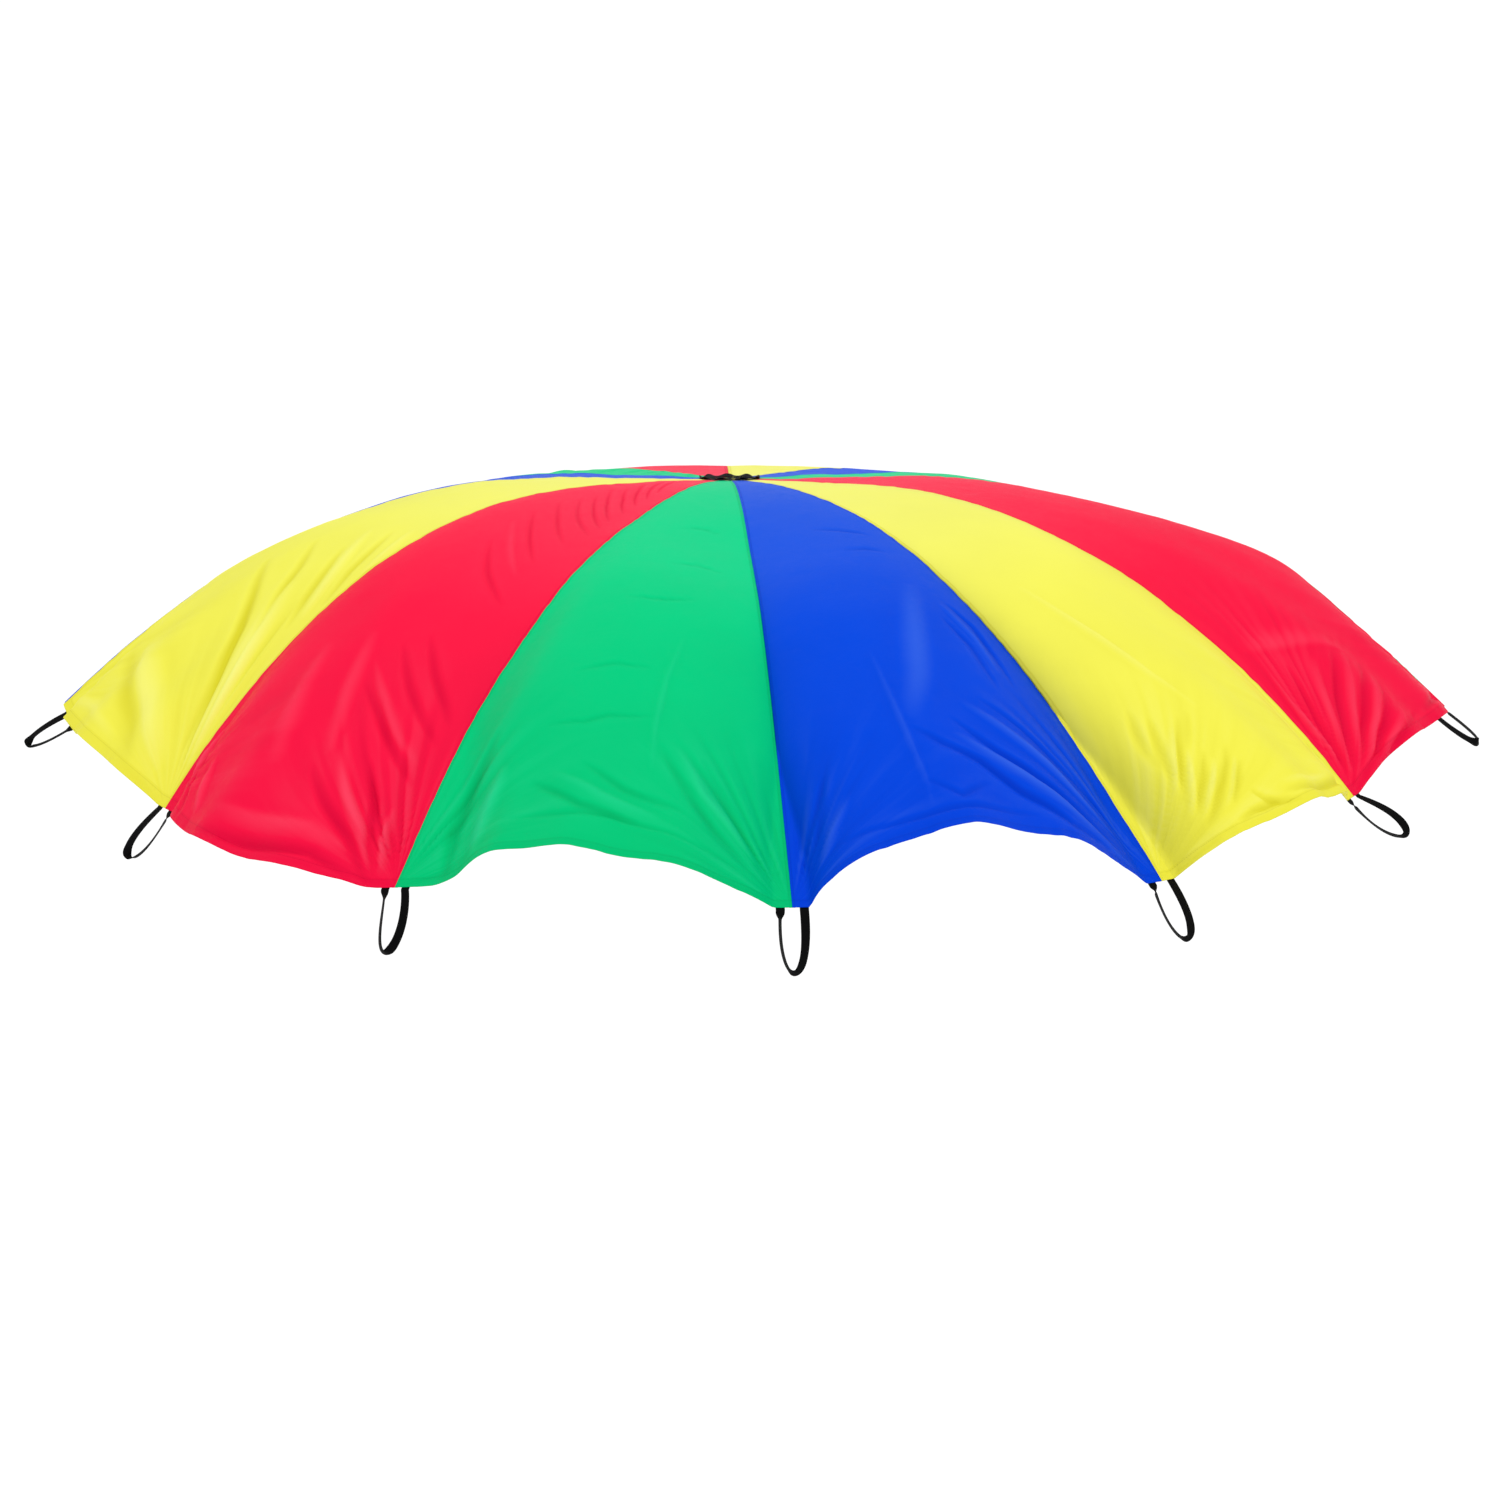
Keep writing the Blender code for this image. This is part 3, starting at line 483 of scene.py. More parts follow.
def folds(gore, w, t, reach):
    """How far the cloth stands off its smooth shape, in metres, and how much of that is in the
    sharp folds."""
    width = t * reach * 2 * np.pi / GORES
    up = (1 - t) * reach
    plan = dome_point(gore, w, t)
    x, y = plan[..., 0] + 9, plan[..., 1] + 9
    middle = (w - 0.5) * width
    seam = np.minimum(w, 1 - w) * width
    raised = sum(height * lumps(x * count, y * count, seed) for height, count, seed in RIPPLES)
    sharp = np.zeros_like(raised)
    calm = ramp(t * reach, VENT_COLLAR, VENT_COLLAR + CALM_ROUND_VENT)
    for side, number in ((1, gore), (-1, (gore + 1) % GORES)):
        near = w < 0.5 if side > 0 else w >= 0.5
        raised += near * gathers(up * 55 + 3, number * 2.5, 11, seam, *SEAM_GATHER)
        past = (w if side > 0 else w - 1) * width
        for turns, count, far, depth in drawn_fans(number):
            if turns[0] * side > 0:
                sharp += fan(past, up, far, turns, count, depth, 40 + number)
        beyond = np.maximum(np.abs(past - HANDLE_SHIFTS[number]) - CALM_WIDTH, 0)
        off = np.hypot(beyond, np.maximum(up - CALM_LENGTH, 0))
        calm = calm * ramp(off, 0.0, CALM_FADE)
    raised += gathers(middle * 48 + 20, gore * 1.7, 13, up, *HEM_GATHER)
    beside = ramp(seam, *FOLD_GAP)
    for line, height, wide, bend in drawn_folds(gore):
        at = [((a - 0.5) * (1 - b) * RIM_WIDTH, b * RIM_RADIUS) for a, b in line]
        sharp += FOLD_GROWTH * beside * crease(middle, up, at, height, wide, bend)
    return (raised + sharp) * calm, sharp * calm


# ---- finishes
class Number:
    """A socket that Python's own operators work on, through Math nodes."""

    def __init__(self, finish, socket):
        self.finish, self.socket = finish, socket

    def __add__(self, other):
        return self.finish.math("ADD", self, other)

    def __sub__(self, other):
        return self.finish.math("SUBTRACT", self, other)

    def __rsub__(self, other):
        return self.finish.math("SUBTRACT", other, self)

    def __mul__(self, other):
        return self.finish.math("MULTIPLY", self, other)

    def __truediv__(self, other):
        return self.finish.math("DIVIDE", self, other)

    def __abs__(self):
        return self.finish.math("ABSOLUTE", self)

    __radd__ = __add__

    def wave(self, length):
        """A sine of this length in the socket's own unit."""
        return self.finish.math("SINE", self * (2 * math.pi / length))

    def kept(self):
        """Held between 0 and 1."""
        return self.finish.math("ADD", self, 0.0, clamp=True)

    def stitched(self, length):
        """1 along each stitch of this length, 0 in the gap behind it."""
        return (self.wave(length) * 3 + 1.2).kept()


class Finish:
    """A material being made: one Principled surface and what feeds it."""

    def __init__(self, name, colour, **constants):
        self.material = bpy.data.materials.new(name)
        self.material.use_nodes = True
        self.material.diffuse_color = (*colour, 1)
        self.tree = self.material.node_tree
        self.surface = self.tree.nodes["Principled BSDF"]
        self.surface.inputs["Base Color"].default_value = (*colour, 1)
        for socket, value in constants.items():
            self.surface.inputs[socket.replace("_", " ")].default_value = value

    def node(self, kind, settings=None, inputs=None, output=0):
        made = self.tree.nodes.new("ShaderNode" + kind)
        for name, value in (settings or {}).items():
            setattr(made, name, value)
        for name, value in (inputs or {}).items():
            self.put(made.inputs[name], value)
        return Number(self, made.outputs[output])

    def put(self, socket, value):
        if isinstance(value, Number):
            self.tree.links.new(value.socket, socket)
        elif isinstance(value, tuple) and len(value) == 3 and socket.type == "RGBA":
            socket.default_value = (*value, 1)
        else:
            socket.default_value = value

    def math(self, operation, *values, clamp=False):
        """One sum. Clamp holds it between 0 and 1."""
        inputs = dict(enumerate(values))
        return self.node("Math", {"operation": operation, "use_clamp": clamp}, inputs)

    def mix(self, factor, low, high):
        """The colour low where factor is 0, high where it is 1."""
        return self.node("Mix", {"data_type": "RGBA"}, {0: factor, 6: low, 7: high}, 2)

    def attribute(self, name):
        return self.node("Attribute", {"attribute_name": name}, output=2)

    def parts(self, vector):
        """A vector's X and Y."""
        split = self.tree.nodes.new("ShaderNodeSeparateXYZ")
        self.put(split.inputs[0], vector)
        return Number(self, split.outputs[0]), Number(self, split.outputs[1])

    def patch(self, name):
        """The cloth's own coordinates in metres: across and down."""
        return self.parts(self.node("UVMap", {"uv_map": name}))

    def noise(self, scale, detail=2.0, stretch=(1, 1, 1)):
        place = self.node("TexCoord", output=3)
        place = self.node("Mapping", None, {"Vector": place, "Scale": stretch})
        inputs = {"Vector": place, "Scale": scale, "Detail": detail, "Roughness": 0.5}
        return self.node("TexNoise", None, inputs)

    def line(self, reach, middle, half):
        """1 on a line this far from an edge, 0 beside it."""
        return (1 - abs(reach - middle) / half).kept()

    def pleats(self, reach, start):
        """Fine pleats that run from each handle up the cloth, -1 to 1, gone at reach."""
        turn, far = self.attribute("PleatTurn"), self.attribute("PleatReach")
        side, _ = self.parts(self.node("TexCoord", output=3))
        place = self.node("CombineXYZ", None, {0: turn * 6.5, 1: far * 1.7, 2: side * 0.8})
        inputs = {"Vector": place, "Scale": 1.0, "Detail": 3.0, "Roughness": 0.55}
        wrinkle = self.node("TexNoise", None, inputs)
        kept = (1 - far / reach).kept() * (far / start).kept()
        return (wrinkle - 0.5) * 3.2 * kept

    def finish(self, colour, roughness, height, strength, distance):
        self.put(self.surface.inputs["Base Color"], colour)
        self.put(self.surface.inputs["Roughness"], roughness)
        inputs = {"Height": height, "Strength": strength, "Distance": distance}
        self.put(self.surface.inputs["Normal"], self.node("Bump", None, inputs))
        return self.material


def shade(colour, share):
    return tuple(min(1.0, c * share) for c in colour)


DOUBLED_SEAM = 0.008  # how far from a seam the cloth lies double
SEAM_STITCH, HEM_STITCH = 0.006, 0.0165  # rows of stitches, from the seam and from the hem
STITCH_LENGTH, STITCH_HALF = 0.0034, 0.0007
FULL_FOLD = 0.008  # the fold height that has all of its shade


def satin(name, colour, deep_and_shade, painted_highlight):
    """Thin satin polyester with its seams, stitches and hem. The deep colour is its colour where
    two layers lie on each other, and painted shade in a fold, towards the hem and at the stitches;
    the paler colour is a painted highlight on a ridge and towards the crown."""
    f = Finish(name, colour, Specular_IOR_Level=0.02)
    across, down = f.patch("Cloth")
    seam, hem = f.attribute("SeamReach"), f.attribute("HemReach")
    mottle = f.noise(2.6, 3.0)
    crinkle = f.noise(60.0, 3.0, (1.0, 1.0, 0.4))
    weave = across.wave(0.0011) * down.wave(0.0011)
    doubled = f.math("LESS_THAN", hem, HEM_WIDTH)
    doubled = f.math("MAXIMUM", doubled, f.math("LESS_THAN", seam, DOUBLED_SEAM))
    beside = f.line(seam, SEAM_STITCH, STITCH_HALF) * down.stitched(STITCH_LENGTH)
    along = f.line(hem, HEM_STITCH, STITCH_HALF) * across.stitched(STITCH_LENGTH)
    stitches = f.math("MAXIMUM", beside, along)
    tone = f.mix((mottle * 1.6 - 0.3).kept(), shade(colour, 0.94), shade(colour, 1.05))
    fold = f.attribute("FoldRise") / FULL_FOLD
    pleats = f.pleats(0.62, 0.1)
    # Painted light: a painted highlight paler towards the crown, painted shade deeper towards the
    # hem, then painted shade in the folds and a painted highlight on the ridges.
    tone = f.mix((0.62 - down * 0.55).kept() * 0.75, tone, painted_highlight)
    # Painted shade: darker towards the hem.
    tone = f.mix(((down - 0.8) * 0.8).kept() * 0.8, tone, deep_and_shade)
    # Painted shade in the folds and pleats.
    tone = f.mix((fold * -0.9 - pleats * 0.6).kept(), tone, shade(deep_and_shade, 0.84))
    # Painted highlight on the ridges of the folds and pleats.
    tone = f.mix((fold * 0.4 + pleats * 0.3).kept(), tone, painted_highlight)
    tone = f.mix(doubled * 0.35, tone, shade(deep_and_shade, 0.9))
    # Painted shade along the stitches, in place of the shadows in their holes.
    tone = f.mix(stitches * 0.6, tone, shade(deep_and_shade, 0.55))
    rough = 0.48 + (crinkle - 0.5) * 0.16 + (mottle - 0.5) * 0.1
    height = weave * 0.05 + crinkle * 0.7 + pleats * 2.2 + stitches * 0.5 + doubled * 0.35
    return f.finish(tone, rough, height, strength=0.55, distance=0.0012)


def webbing(name):
    """Black polypropylene webbing, ribbed along its length."""
    black = (0.002, 0.002, 0.0022)
    f = Finish(name, black, Specular_IOR_Level=0.05)
    across, down = f.patch("Strap")
    ribs = across.wave(0.0026)
    picks = (down + ribs * 0.0003).wave(0.0017)
    edge = f.math("GREATER_THAN", abs(across), STRAP_WIDTH / 2 - 0.0015)
    wear = f.noise(90.0, 4.0)
    # Painted highlight on the raised ribs and picks, mixed with random wear.
    raised = (ribs * 0.5 + picks * 0.3 + wear - 0.3).kept()
    tone = f.mix(raised, (0.001, 0.001, 0.0012), (0.004, 0.004, 0.0045))
    height = ribs * 0.6 + picks * 0.35 + edge * 0.5
    return f.finish(tone, 0.62 + (wear - 0.5) * 0.2, height, strength=0.7, distance=0.0005)


def tape_finish(name):
    """Black bias tape, folded and stitched round the vent."""
    f = Finish(name, (0.004, 0.004, 0.0045), Specular_IOR_Level=0.12)
    across, down = f.patch("Strap")
    weave = (across + down).wave(0.0012) * (across - down).wave(0.0012)
    stitches = f.line(abs(across), 0.005, 0.0005) * down.stitched(0.0032)
    wear = f.noise(120.0, 3.0)
    tone = f.mix((wear * 1.5 - 0.3).kept(), (0.002, 0.002, 0.0024), (0.008, 0.008, 0.009))
    tone = f.mix(stitches * 0.7, tone, (0.03, 0.03, 0.032))
    height = weave * 0.3 + stitches * 0.8 + wear * 0.4
    return f.finish(tone, 0.6 + (wear - 0.5) * 0.2, height, strength=0.6, distance=0.0005)


def net_finish(name):
    """Black twine."""
    f = Finish(name, (0.006, 0.006, 0.007), Specular_IOR_Level=0.15)
    twist = f.noise(700.0, 2.0)
    tone = f.mix(twist, (0.003, 0.003, 0.0035), (0.012, 0.012, 0.014))
    return f.finish(tone, 0.45 + twist * 0.2, twist, strength=0.5, distance=0.0003)


# ---- making pieces
def placed(name, data):
    thing = bpy.data.objects.new(name, data)
    bpy.context.scene.collection.objects.link(thing)
    return thing


def mesh_of(name, bm):
    mesh = bpy.data.meshes.new(name)
    bm.to_mesh(mesh)
    bm.free()
    return mesh


def laid_grid(name, places, patch, uv_name, material, turned=False):
    """A sheet of rows and columns of points, each moved to its place. Patch is each point's
    place on the flat cloth."""
    rows, columns = places.shape[:2]
    bm = bmesh.new()
    bmesh.ops.create_grid(bm, x_segments=columns - 1, y_segments=rows - 1, size=0.5)
    if turned:
        bmesh.ops.reverse_faces(bm, faces=bm.faces[:])
    mesh = mesh_of(name, bm)
    flat = np.zeros(len(mesh.vertices) * 3, np.float32)
    mesh.vertices.foreach_get("co", flat)
    flat = flat.reshape(-1, 3)
    i = np.rint((flat[:, 0] + 0.5) * (columns - 1)).astype(int)
    j = np.rint((flat[:, 1] + 0.5) * (rows - 1)).astype(int)
    mesh.vertices.foreach_set("co", places[j, i].astype(np.float32).ravel())
    corners = np.zeros(len(mesh.loops), np.int32)
    mesh.loops.foreach_get("vertex_index", corners)
    layer = mesh.uv_layers.new(name=uv_name)
    layer.data.foreach_set("uv", patch[j, i][corners].astype(np.float32).ravel())
    mesh.shade_smooth()
    mesh.materials.append(material)
    return placed(name, mesh), i, j


def thicken(thing, thickness):
    wall = thing.modifiers.new("Thickness", "SOLIDIFY")
    wall.thickness = thickness
    wall.offset = 0.0
    wall.use_quality_normals = True


# Each gore's columns: how far in from its seam, and how far below the face, in metres. The
# first and last ones are the seam allowance, turned under.
SEAM_TURN = ((0.0075, 0.00065), (0.0004, 0.00045))
SEAM_INSETS = (0.0, 0.002, 0.005, 0.0085, 0.0125, 0.0175)
INNER_COLUMNS = 126
# Rows up from the hem's edge, and the hem turned under below it.
HEM_INSETS = (0.0, 0.0012, 0.0035, 0.007, 0.011, 0.015, 0.0185, 0.0215, 0.025, 0.03, 0.037)
HEM_TURN = ((-0.0007, 0.0007), (0.0012, 0.00135), (0.01, 0.00135), (0.02, 0.00135))
BODY_ROWS = 200
ROW_POWER = 0.72  # below 1 for closer rows towards the hem
SHOWN_CLOTH = 0.0005  # its thickness here, thinner than the solids'


def make_gore(gore, material):
    """A wedge of cloth with its seam allowances and its hem turned under."""
    # Columns: side (None for the inner ones), share across or inset from the seam, and drop.
    edge = SEAM_INSETS[-1] / RIM_WIDTH
    inner = np.linspace(0, 1, INNER_COLUMNS)[1:-1]
    insets = SEAM_TURN + tuple((inset, 0) for inset in SEAM_INSETS)
    plan = [(0, *inset) for inset in insets] + [(None, s, 0) for s in inner]
    plan += [(1, *inset) for inset in reversed(insets)]
    first = np.array([edge + (1 - 2 * edge) * s if side is None else float(side)
                      for side, s, _ in plan])
    # Rows: share down the body, then insets from the hem's edge and drops.
    rows = np.linspace(0, 1, BODY_ROWS)[:-1] ** ROW_POWER
    hems = [(inset, 0) for inset in reversed(HEM_INSETS)] + list(HEM_TURN)
    count = len(rows) + len(hems)
    reach = seam_length(gore, first)
    low, high = VENT_EDGE / reach, 1 - HEM_INSETS[-1] / reach
    t = np.array([low + (high - low) * s for s in rows] + [1 - inset / reach for inset, _ in hems])
    w = np.tile(first, (count, 1))
    width = np.minimum(t, 1) * reach * 2 * np.pi / GORES
    for i, (side, inset, _) in enumerate(plan):
        if side is None:
            low = SEAM_INSETS[-1] / width[:, i]
            share = (first[i] - edge) / (1 - 2 * edge)
            w[:, i] = low + (1 - 2 * low) * share
        else:
            w[:, i] = inset / width[:, i] if side == 0 else 1 - inset / width[:, i]
    reach = np.tile(reach, (count, 1))
    kept = np.minimum(t, 1.0)
    raised, sharp = folds(gore, w, kept, reach)
    normal = dome_normal(gore, w, kept)
    point = canopy_point(gore, w, kept) + normal * raised[..., None]
    rim, near_rim = (canopy_point(gore, w, np.full_like(w, share)) for share in (1.0, 0.99))
    point += unit(rim - near_rim) * np.maximum(t - 1, 0)[..., None] * RIM_RADIUS
    hem_drops = np.array([0] * len(rows) + [drop for _, drop in hems])
    drops = np.array([drop for _, _, drop in plan])[None, :] + hem_drops[:, None]
    point = point - normal * drops[..., None]
    x = (w - 0.5) * width
    y = t * reach
    turned = len(HEM_TURN)
    y[-turned:] = 2 * reach[-turned:] - y[-turned:]
    thing, i, j = laid_grid(f"gore_{gore + 1:02d}_cloth", point, np.stack((x, y), axis=-1),
                            "Cloth", material, turned=True)
    seam = np.minimum(w, 1 - w) * width
    hem = np.abs(1 - t) * reach
    past = np.where(w < 0.5, w, w - 1) * width
    far = np.hypot(past, 1.1 * hem)
    turn = np.arctan2(np.abs(past), np.maximum(hem, 1e-4))
    layers = {"SeamReach": seam, "HemReach": hem, "FoldRise": sharp, "PleatTurn": turn,
              "PleatReach": far}
    for name, values in layers.items():
        layer = thing.data.attributes.new(name, "FLOAT", "POINT")
        layer.data.foreach_set("value", values[j, i].astype(np.float32))
    thicken(thing, SHOWN_CLOTH)
    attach(thing, "canopy")
    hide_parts(f"gore_{gore + 1:02d}")
    return thing


def corner_reach(seam):
    """From where to where along the hem a handle's straight corner goes, from its seam."""
    shift = HANDLE_SHIFTS[seam]
    low = 0.0 if shift > 0 else shift / RIM_WIDTH - CORNER_SHARE
    high = 0.0 if shift < 0 else shift / RIM_WIDTH + CORNER_SHARE
    return low, high


def corner_point(seam, past, t):
    gore, w = (seam, past) if past >= 0 else ((seam - 1) % GORES, 1 + past)
    return Vector(canopy_point(gore, w, t))


def seam_run(seam):
    """The way the cloth runs outwards at a handle's corner."""
    inner = 1 - CORNER_LENGTH / float(seam_length(seam, 0.0))
    low, high = corner_reach(seam)
    runs = [corner_point(seam, w, 1.0) - corner_point(seam, w, inner) for w in (low, high)]
    return (runs[0] + runs[1]) / 2


def frame_at(place, x, y, z):
    return Matrix.Translation(place) @ Matrix((x, y, z)).transposed().to_4x4()


def moved_to(place, points):
    return points @ np.array(place.to_3x3()).T + np.array(place.translation)


def corner_frame(seam):
    """A handle's place: X along the hem, Y square to it and outwards, Z to the underside."""
    low, high = corner_reach(seam)
    start, end = corner_point(seam, low, 1.0), corner_point(seam, high, 1.0)
    along = (end - start).normalized()
    run = seam_run(seam)
    down = (run - along * run.dot(along)).normalized()
    edge = corner_point(seam, 0.0, 1.0)
    centre = start + along * ((edge - start).dot(along) + HANDLE_SHIFTS[seam])
    return frame_at(centre, along, down, along.cross(down))


TAIL_DEPTH = CLOTH * 1.5 + TAIL_DROP + STRAP_THICKNESS / 2


def loop_place(seam):
    """The line that a loop swings about: X along the hem, and -Z the way the loop hangs."""
    corner = corner_frame(seam)
    bend = corner @ Vector((0, BEND_REACH, TAIL_DEPTH))
    along = corner.col[0].to_3d()
    away = along.cross(Vector((0, 0, 1))).normalized()
    lean = math.radians(LOOP_LEANS[seam])
    up = away.cross(along) * math.cos(lean) - away * math.sin(lean)
    return frame_at(bend, along, up.cross(along), up)


TURN_STOPS = (0, 0.3, 0.5, 0.62, 1 - TURN_FLAT_SHARE, 1)  # along the loop, flat leg first


def strap_turn(seam, share):
    """How far the strap is turned about its own length."""
    flat, tip, thin = (math.radians(turn) for turn in STRAP_TURNS[seam])
    top, sewn = (math.radians(turn) for turn in HEM_TURNS[seam])
    turns = (0, flat, tip, thin, top, sewn)
    for i, (low, high) in enumerate(zip(TURN_STOPS, TURN_STOPS[1:])):
        if share <= high:
            return turns[i] + (turns[i + 1] - turns[i]) * ease((share - low) / (high - low))
    return turns[-1]


def loop_centre(seam, angle):
    """The strap's middle, from the one leg at angle 0 to the other at a half turn."""
    depth = math.sin(angle)
    length = LOOP_LENGTH * LOOP_LENGTH_SHARES[seam]
    belly = LEG_SPACING / 2 * math.cos(angle) * (1 + LOOP_BULGE_SHARE * depth)
    twist = math.radians(LOOP_TWISTS[seam]) * depth
    sway = LOOP_SWAY_SHARES[seam] * length * depth * abs(depth) ** SWAY_POWER
    belly *= FLAT_LEGS[seam]
    return Vector((belly * math.cos(twist) + sway, belly * math.sin(twist), -length * depth))


def loop_section(seam, angle):
    """Centre and width direction of the strap."""
    step = math.pi / 512
    along = loop_centre(seam, angle + step) - loop_centre(seam, angle - step)
    if angle in (0, math.pi):
        along = Vector((0, 0, -math.cos(angle)))
    along.normalize()
    twist = math.radians(LOOP_TWISTS[seam]) * math.sin(angle)
    plane = Vector((-math.sin(twist), math.cos(twist), 0))
    across = plane.cross(along).normalized()
    plane = along.cross(across)
    turn = strap_turn(seam, angle / math.pi)
    return loop_centre(seam, angle), across * math.cos(turn) + plane * math.sin(turn)


LOOP_STATIONS = 72
TAIL_STATIONS = 8
BEND = 0.003  # how far on both sides of its line the strap's bend reaches
BEND_STEPS = 6


def tail_slant(seam, corner):
    """How far the tails lean along the hem for each metre up their seam."""
    run = corner.to_3x3().inverted() @ seam_run(seam)
    return run.x / run.y


def strap_stations(seam):
    """Points along the whole strap, from one sewn tail round the loop to the other, each with
    the strap's width direction."""
    corner, hang = corner_frame(seam), loop_place(seam)
    slant = tail_slant(seam, corner)
    stations = []
    for side, end in ((FLAT_LEGS[seam], 0), (-FLAT_LEGS[seam], 1)):
        x = side * LEG_SPACING / 2
        wide = (hang.to_3x3() @ loop_section(seam, end * math.pi)[1]).normalized()
        tail = []
        for k in range(TAIL_STATIONS + 1):
            y = -TAIL_LENGTH + (TAIL_LENGTH + BEND_REACH - BEND) * k / TAIL_STATIONS
            tail.append((corner @ Vector((x + min(0.0, y) * slant, y, TAIL_DEPTH)), wide))
        before = tail[-1][0]
        knee = corner @ Vector((x, BEND_REACH, TAIL_DEPTH))
        after = hang @ Vector((x, 0, -BEND))
        for k in range(1, BEND_STEPS):
            s = k / BEND_STEPS
            place = before * (1 - s) ** 2 + knee * 2 * s * (1 - s) + after * s * s
            tail.append((place, wide))
        if end == 0:
            stations += tail
            reach = LOOP_LENGTH * LOOP_LENGTH_SHARES[seam]
            first = math.asin(BEND / reach)
            for k in range(LOOP_STATIONS + 1):
                share = k / LOOP_STATIONS
                # Closer stations at both ends and at the tip.
                angle = math.pi * (share - math.sin(4 * math.pi * share) / 16)
                angle = first + (math.pi - 2 * first) * angle / math.pi
                centre, wide = loop_section(seam, angle)
                stations.append((hang @ centre, hang.to_3x3() @ wide))
        else:
            stations += tail[::-1]
    return stations


STRAP_COLUMNS = 9
STRAP_EDGE = 0.00035  # how round its edges are


def make_strap(seam, material):
    """One strap: both sewn tails and the loop that swings."""
    stations = strap_stations(seam)
    centres = np.array([tuple(c) for c, _ in stations])
    wides = unit(np.array([tuple(w) for _, w in stations]))
    lengths = np.concatenate(([0], np.cumsum(np.linalg.norm(np.diff(centres, axis=0), axis=1))))
    across = np.linspace(-STRAP_WIDTH / 2, STRAP_WIDTH / 2, STRAP_COLUMNS)
    places = centres[:, None, :] + wides[:, None, :] * across[None, :, None]
    patch = np.stack(np.meshgrid(across, lengths), axis=-1)
    body = f"handle_{seam + 1:02d}"
    thing, _, _ = laid_grid(body + "_strap", places, patch, "Strap", material)
    thicken(thing, STRAP_THICKNESS)
    soft = thing.modifiers.new("Edges", "BEVEL")
    soft.width = STRAP_EDGE
    soft.segments = 2
    soft.limit_method = "ANGLE"
    soft.angle_limit = math.radians(50)
    corner, hang = corner_frame(seam), loop_place(seam)
    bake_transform(thing)
    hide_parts(body + "_loop", body + "_tails")
    return thing


PATCH_COLUMNS, PATCH_ROWS = 25, 9
PATCH_THICKNESS = 0.001
PATCH_SAG, PATCH_SLOPE = 0.0007, 0.006  # between the tails, and over what width


def make_patch(seam, material):
    """The short piece of webbing sewn over both tails."""
    corner = corner_frame(seam)
    slant = tail_slant(seam, corner)
    outer = (LEG_SPACING + STRAP_WIDTH) / 2
    x = np.linspace(-outer, outer, PATCH_COLUMNS)
    y = np.linspace(-TAIL_LENGTH, -TAIL_LENGTH + PATCH_LENGTH, PATCH_ROWS)
    gx, gy = np.meshgrid(x, y)
    inner = LEG_SPACING / 2 - STRAP_WIDTH / 2
    between = 1 - ramp(np.abs(gx), inner - PATCH_SLOPE, inner)
    z = TAIL_DEPTH + STRAP_THICKNESS / 2 + PATCH_THICKNESS * 0.6 - PATCH_SAG * between
    local = np.stack((gx + gy * slant, gy, z), axis=-1)
    places = moved_to(corner, local)
    patch = np.stack((gy + TAIL_LENGTH - PATCH_LENGTH / 2, gx), axis=-1)
    thing, _, _ = laid_grid(f"handle_{seam + 1:02d}_patch", places, patch, "Strap", material)
    thicken(thing, PATCH_THICKNESS)
    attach(thing, "canopy")
    return thing


def hub_place():
    """The vent's middle, with Z square to the cloth."""
    normal = Vector(dome_normal(0, 0.0, VENT_EDGE / RIM_RADIUS / 2))
    across = Vector((0, 1, 0)).cross(normal).normalized()
    along = normal.cross(across)
    return frame_at(Vector(HUB), across, along, normal)


TAPE_STEPS = 144
# Across the tape, -1 to 1, and up from the cloth in shares of its thickness.
TAPE_SECTION = ((-1, 0.25), (-0.93, 0.8), (-0.75, 1), (-0.35, 0.86), (0, 0.95), (0.35, 0.86),
                (0.75, 1), (0.93, 0.8), (1, 0.25), (0.9, 0), (0, 0), (-0.9, 0), (-1, 0.25))
TAPE_FRILL = 0.0065  # by which the top tape's free edge curls up between its stitches
TAPE_PUCKER, TAPE_WAVER = 0.00018, 0.0004  # up and outwards


def make_tape(name, side, material):
    """A ring of folded tape round the vent, a little puckered by its stitches."""
    low = CLOTH / 2 + FIT_GAP
    middle = (TAPE_INNER + TAPE_OUTER) / 2
    half = (TAPE_OUTER - TAPE_INNER) / 2
    around = np.linspace(0, 2 * math.pi, TAPE_STEPS + 1)
    angle, s = np.meshgrid(around, [s for s, _ in TAPE_SECTION])
    _, h = np.meshgrid(around, [h for _, h in TAPE_SECTION])
    pucker = TAPE_PUCKER * np.sin(angle * 31) * np.sin(angle * 5 + 1) * (h > 0.5)
    radius = middle + half * s + TAPE_WAVER * np.sin(angle * 17) * (h > 0.1)
    frill = TAPE_FRILL * np.maximum(side, 0) * np.sin(angle * 4.5 + 0.6) ** 2 * ((s + 1) / 2) ** 2
    z = side * (low + TAPE_THICKNESS * h + pucker) + frill
    local = np.stack((radius * np.cos(angle), radius * np.sin(angle), z), axis=-1)
    places = moved_to(hub_place(), local)
    patch = np.stack((half * s, angle * middle), axis=-1)
    thing, _, _ = laid_grid(name + "_tape", places, patch, "Strap", material, turned=side > 0)
    bm = bmesh.new()
    bm.from_mesh(thing.data)
    bmesh.ops.remove_doubles(bm, verts=bm.verts[:], dist=0.00002)
    bmesh.ops.recalc_face_normals(bm, faces=bm.faces[:])
    bm.to_mesh(thing.data)
    bm.free()
    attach(thing, "canopy")
    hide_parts(name)
    return thing


NET_PITCH = 0.0045
NET_STRAND = 0.0009
NET_SAG = 0.0004


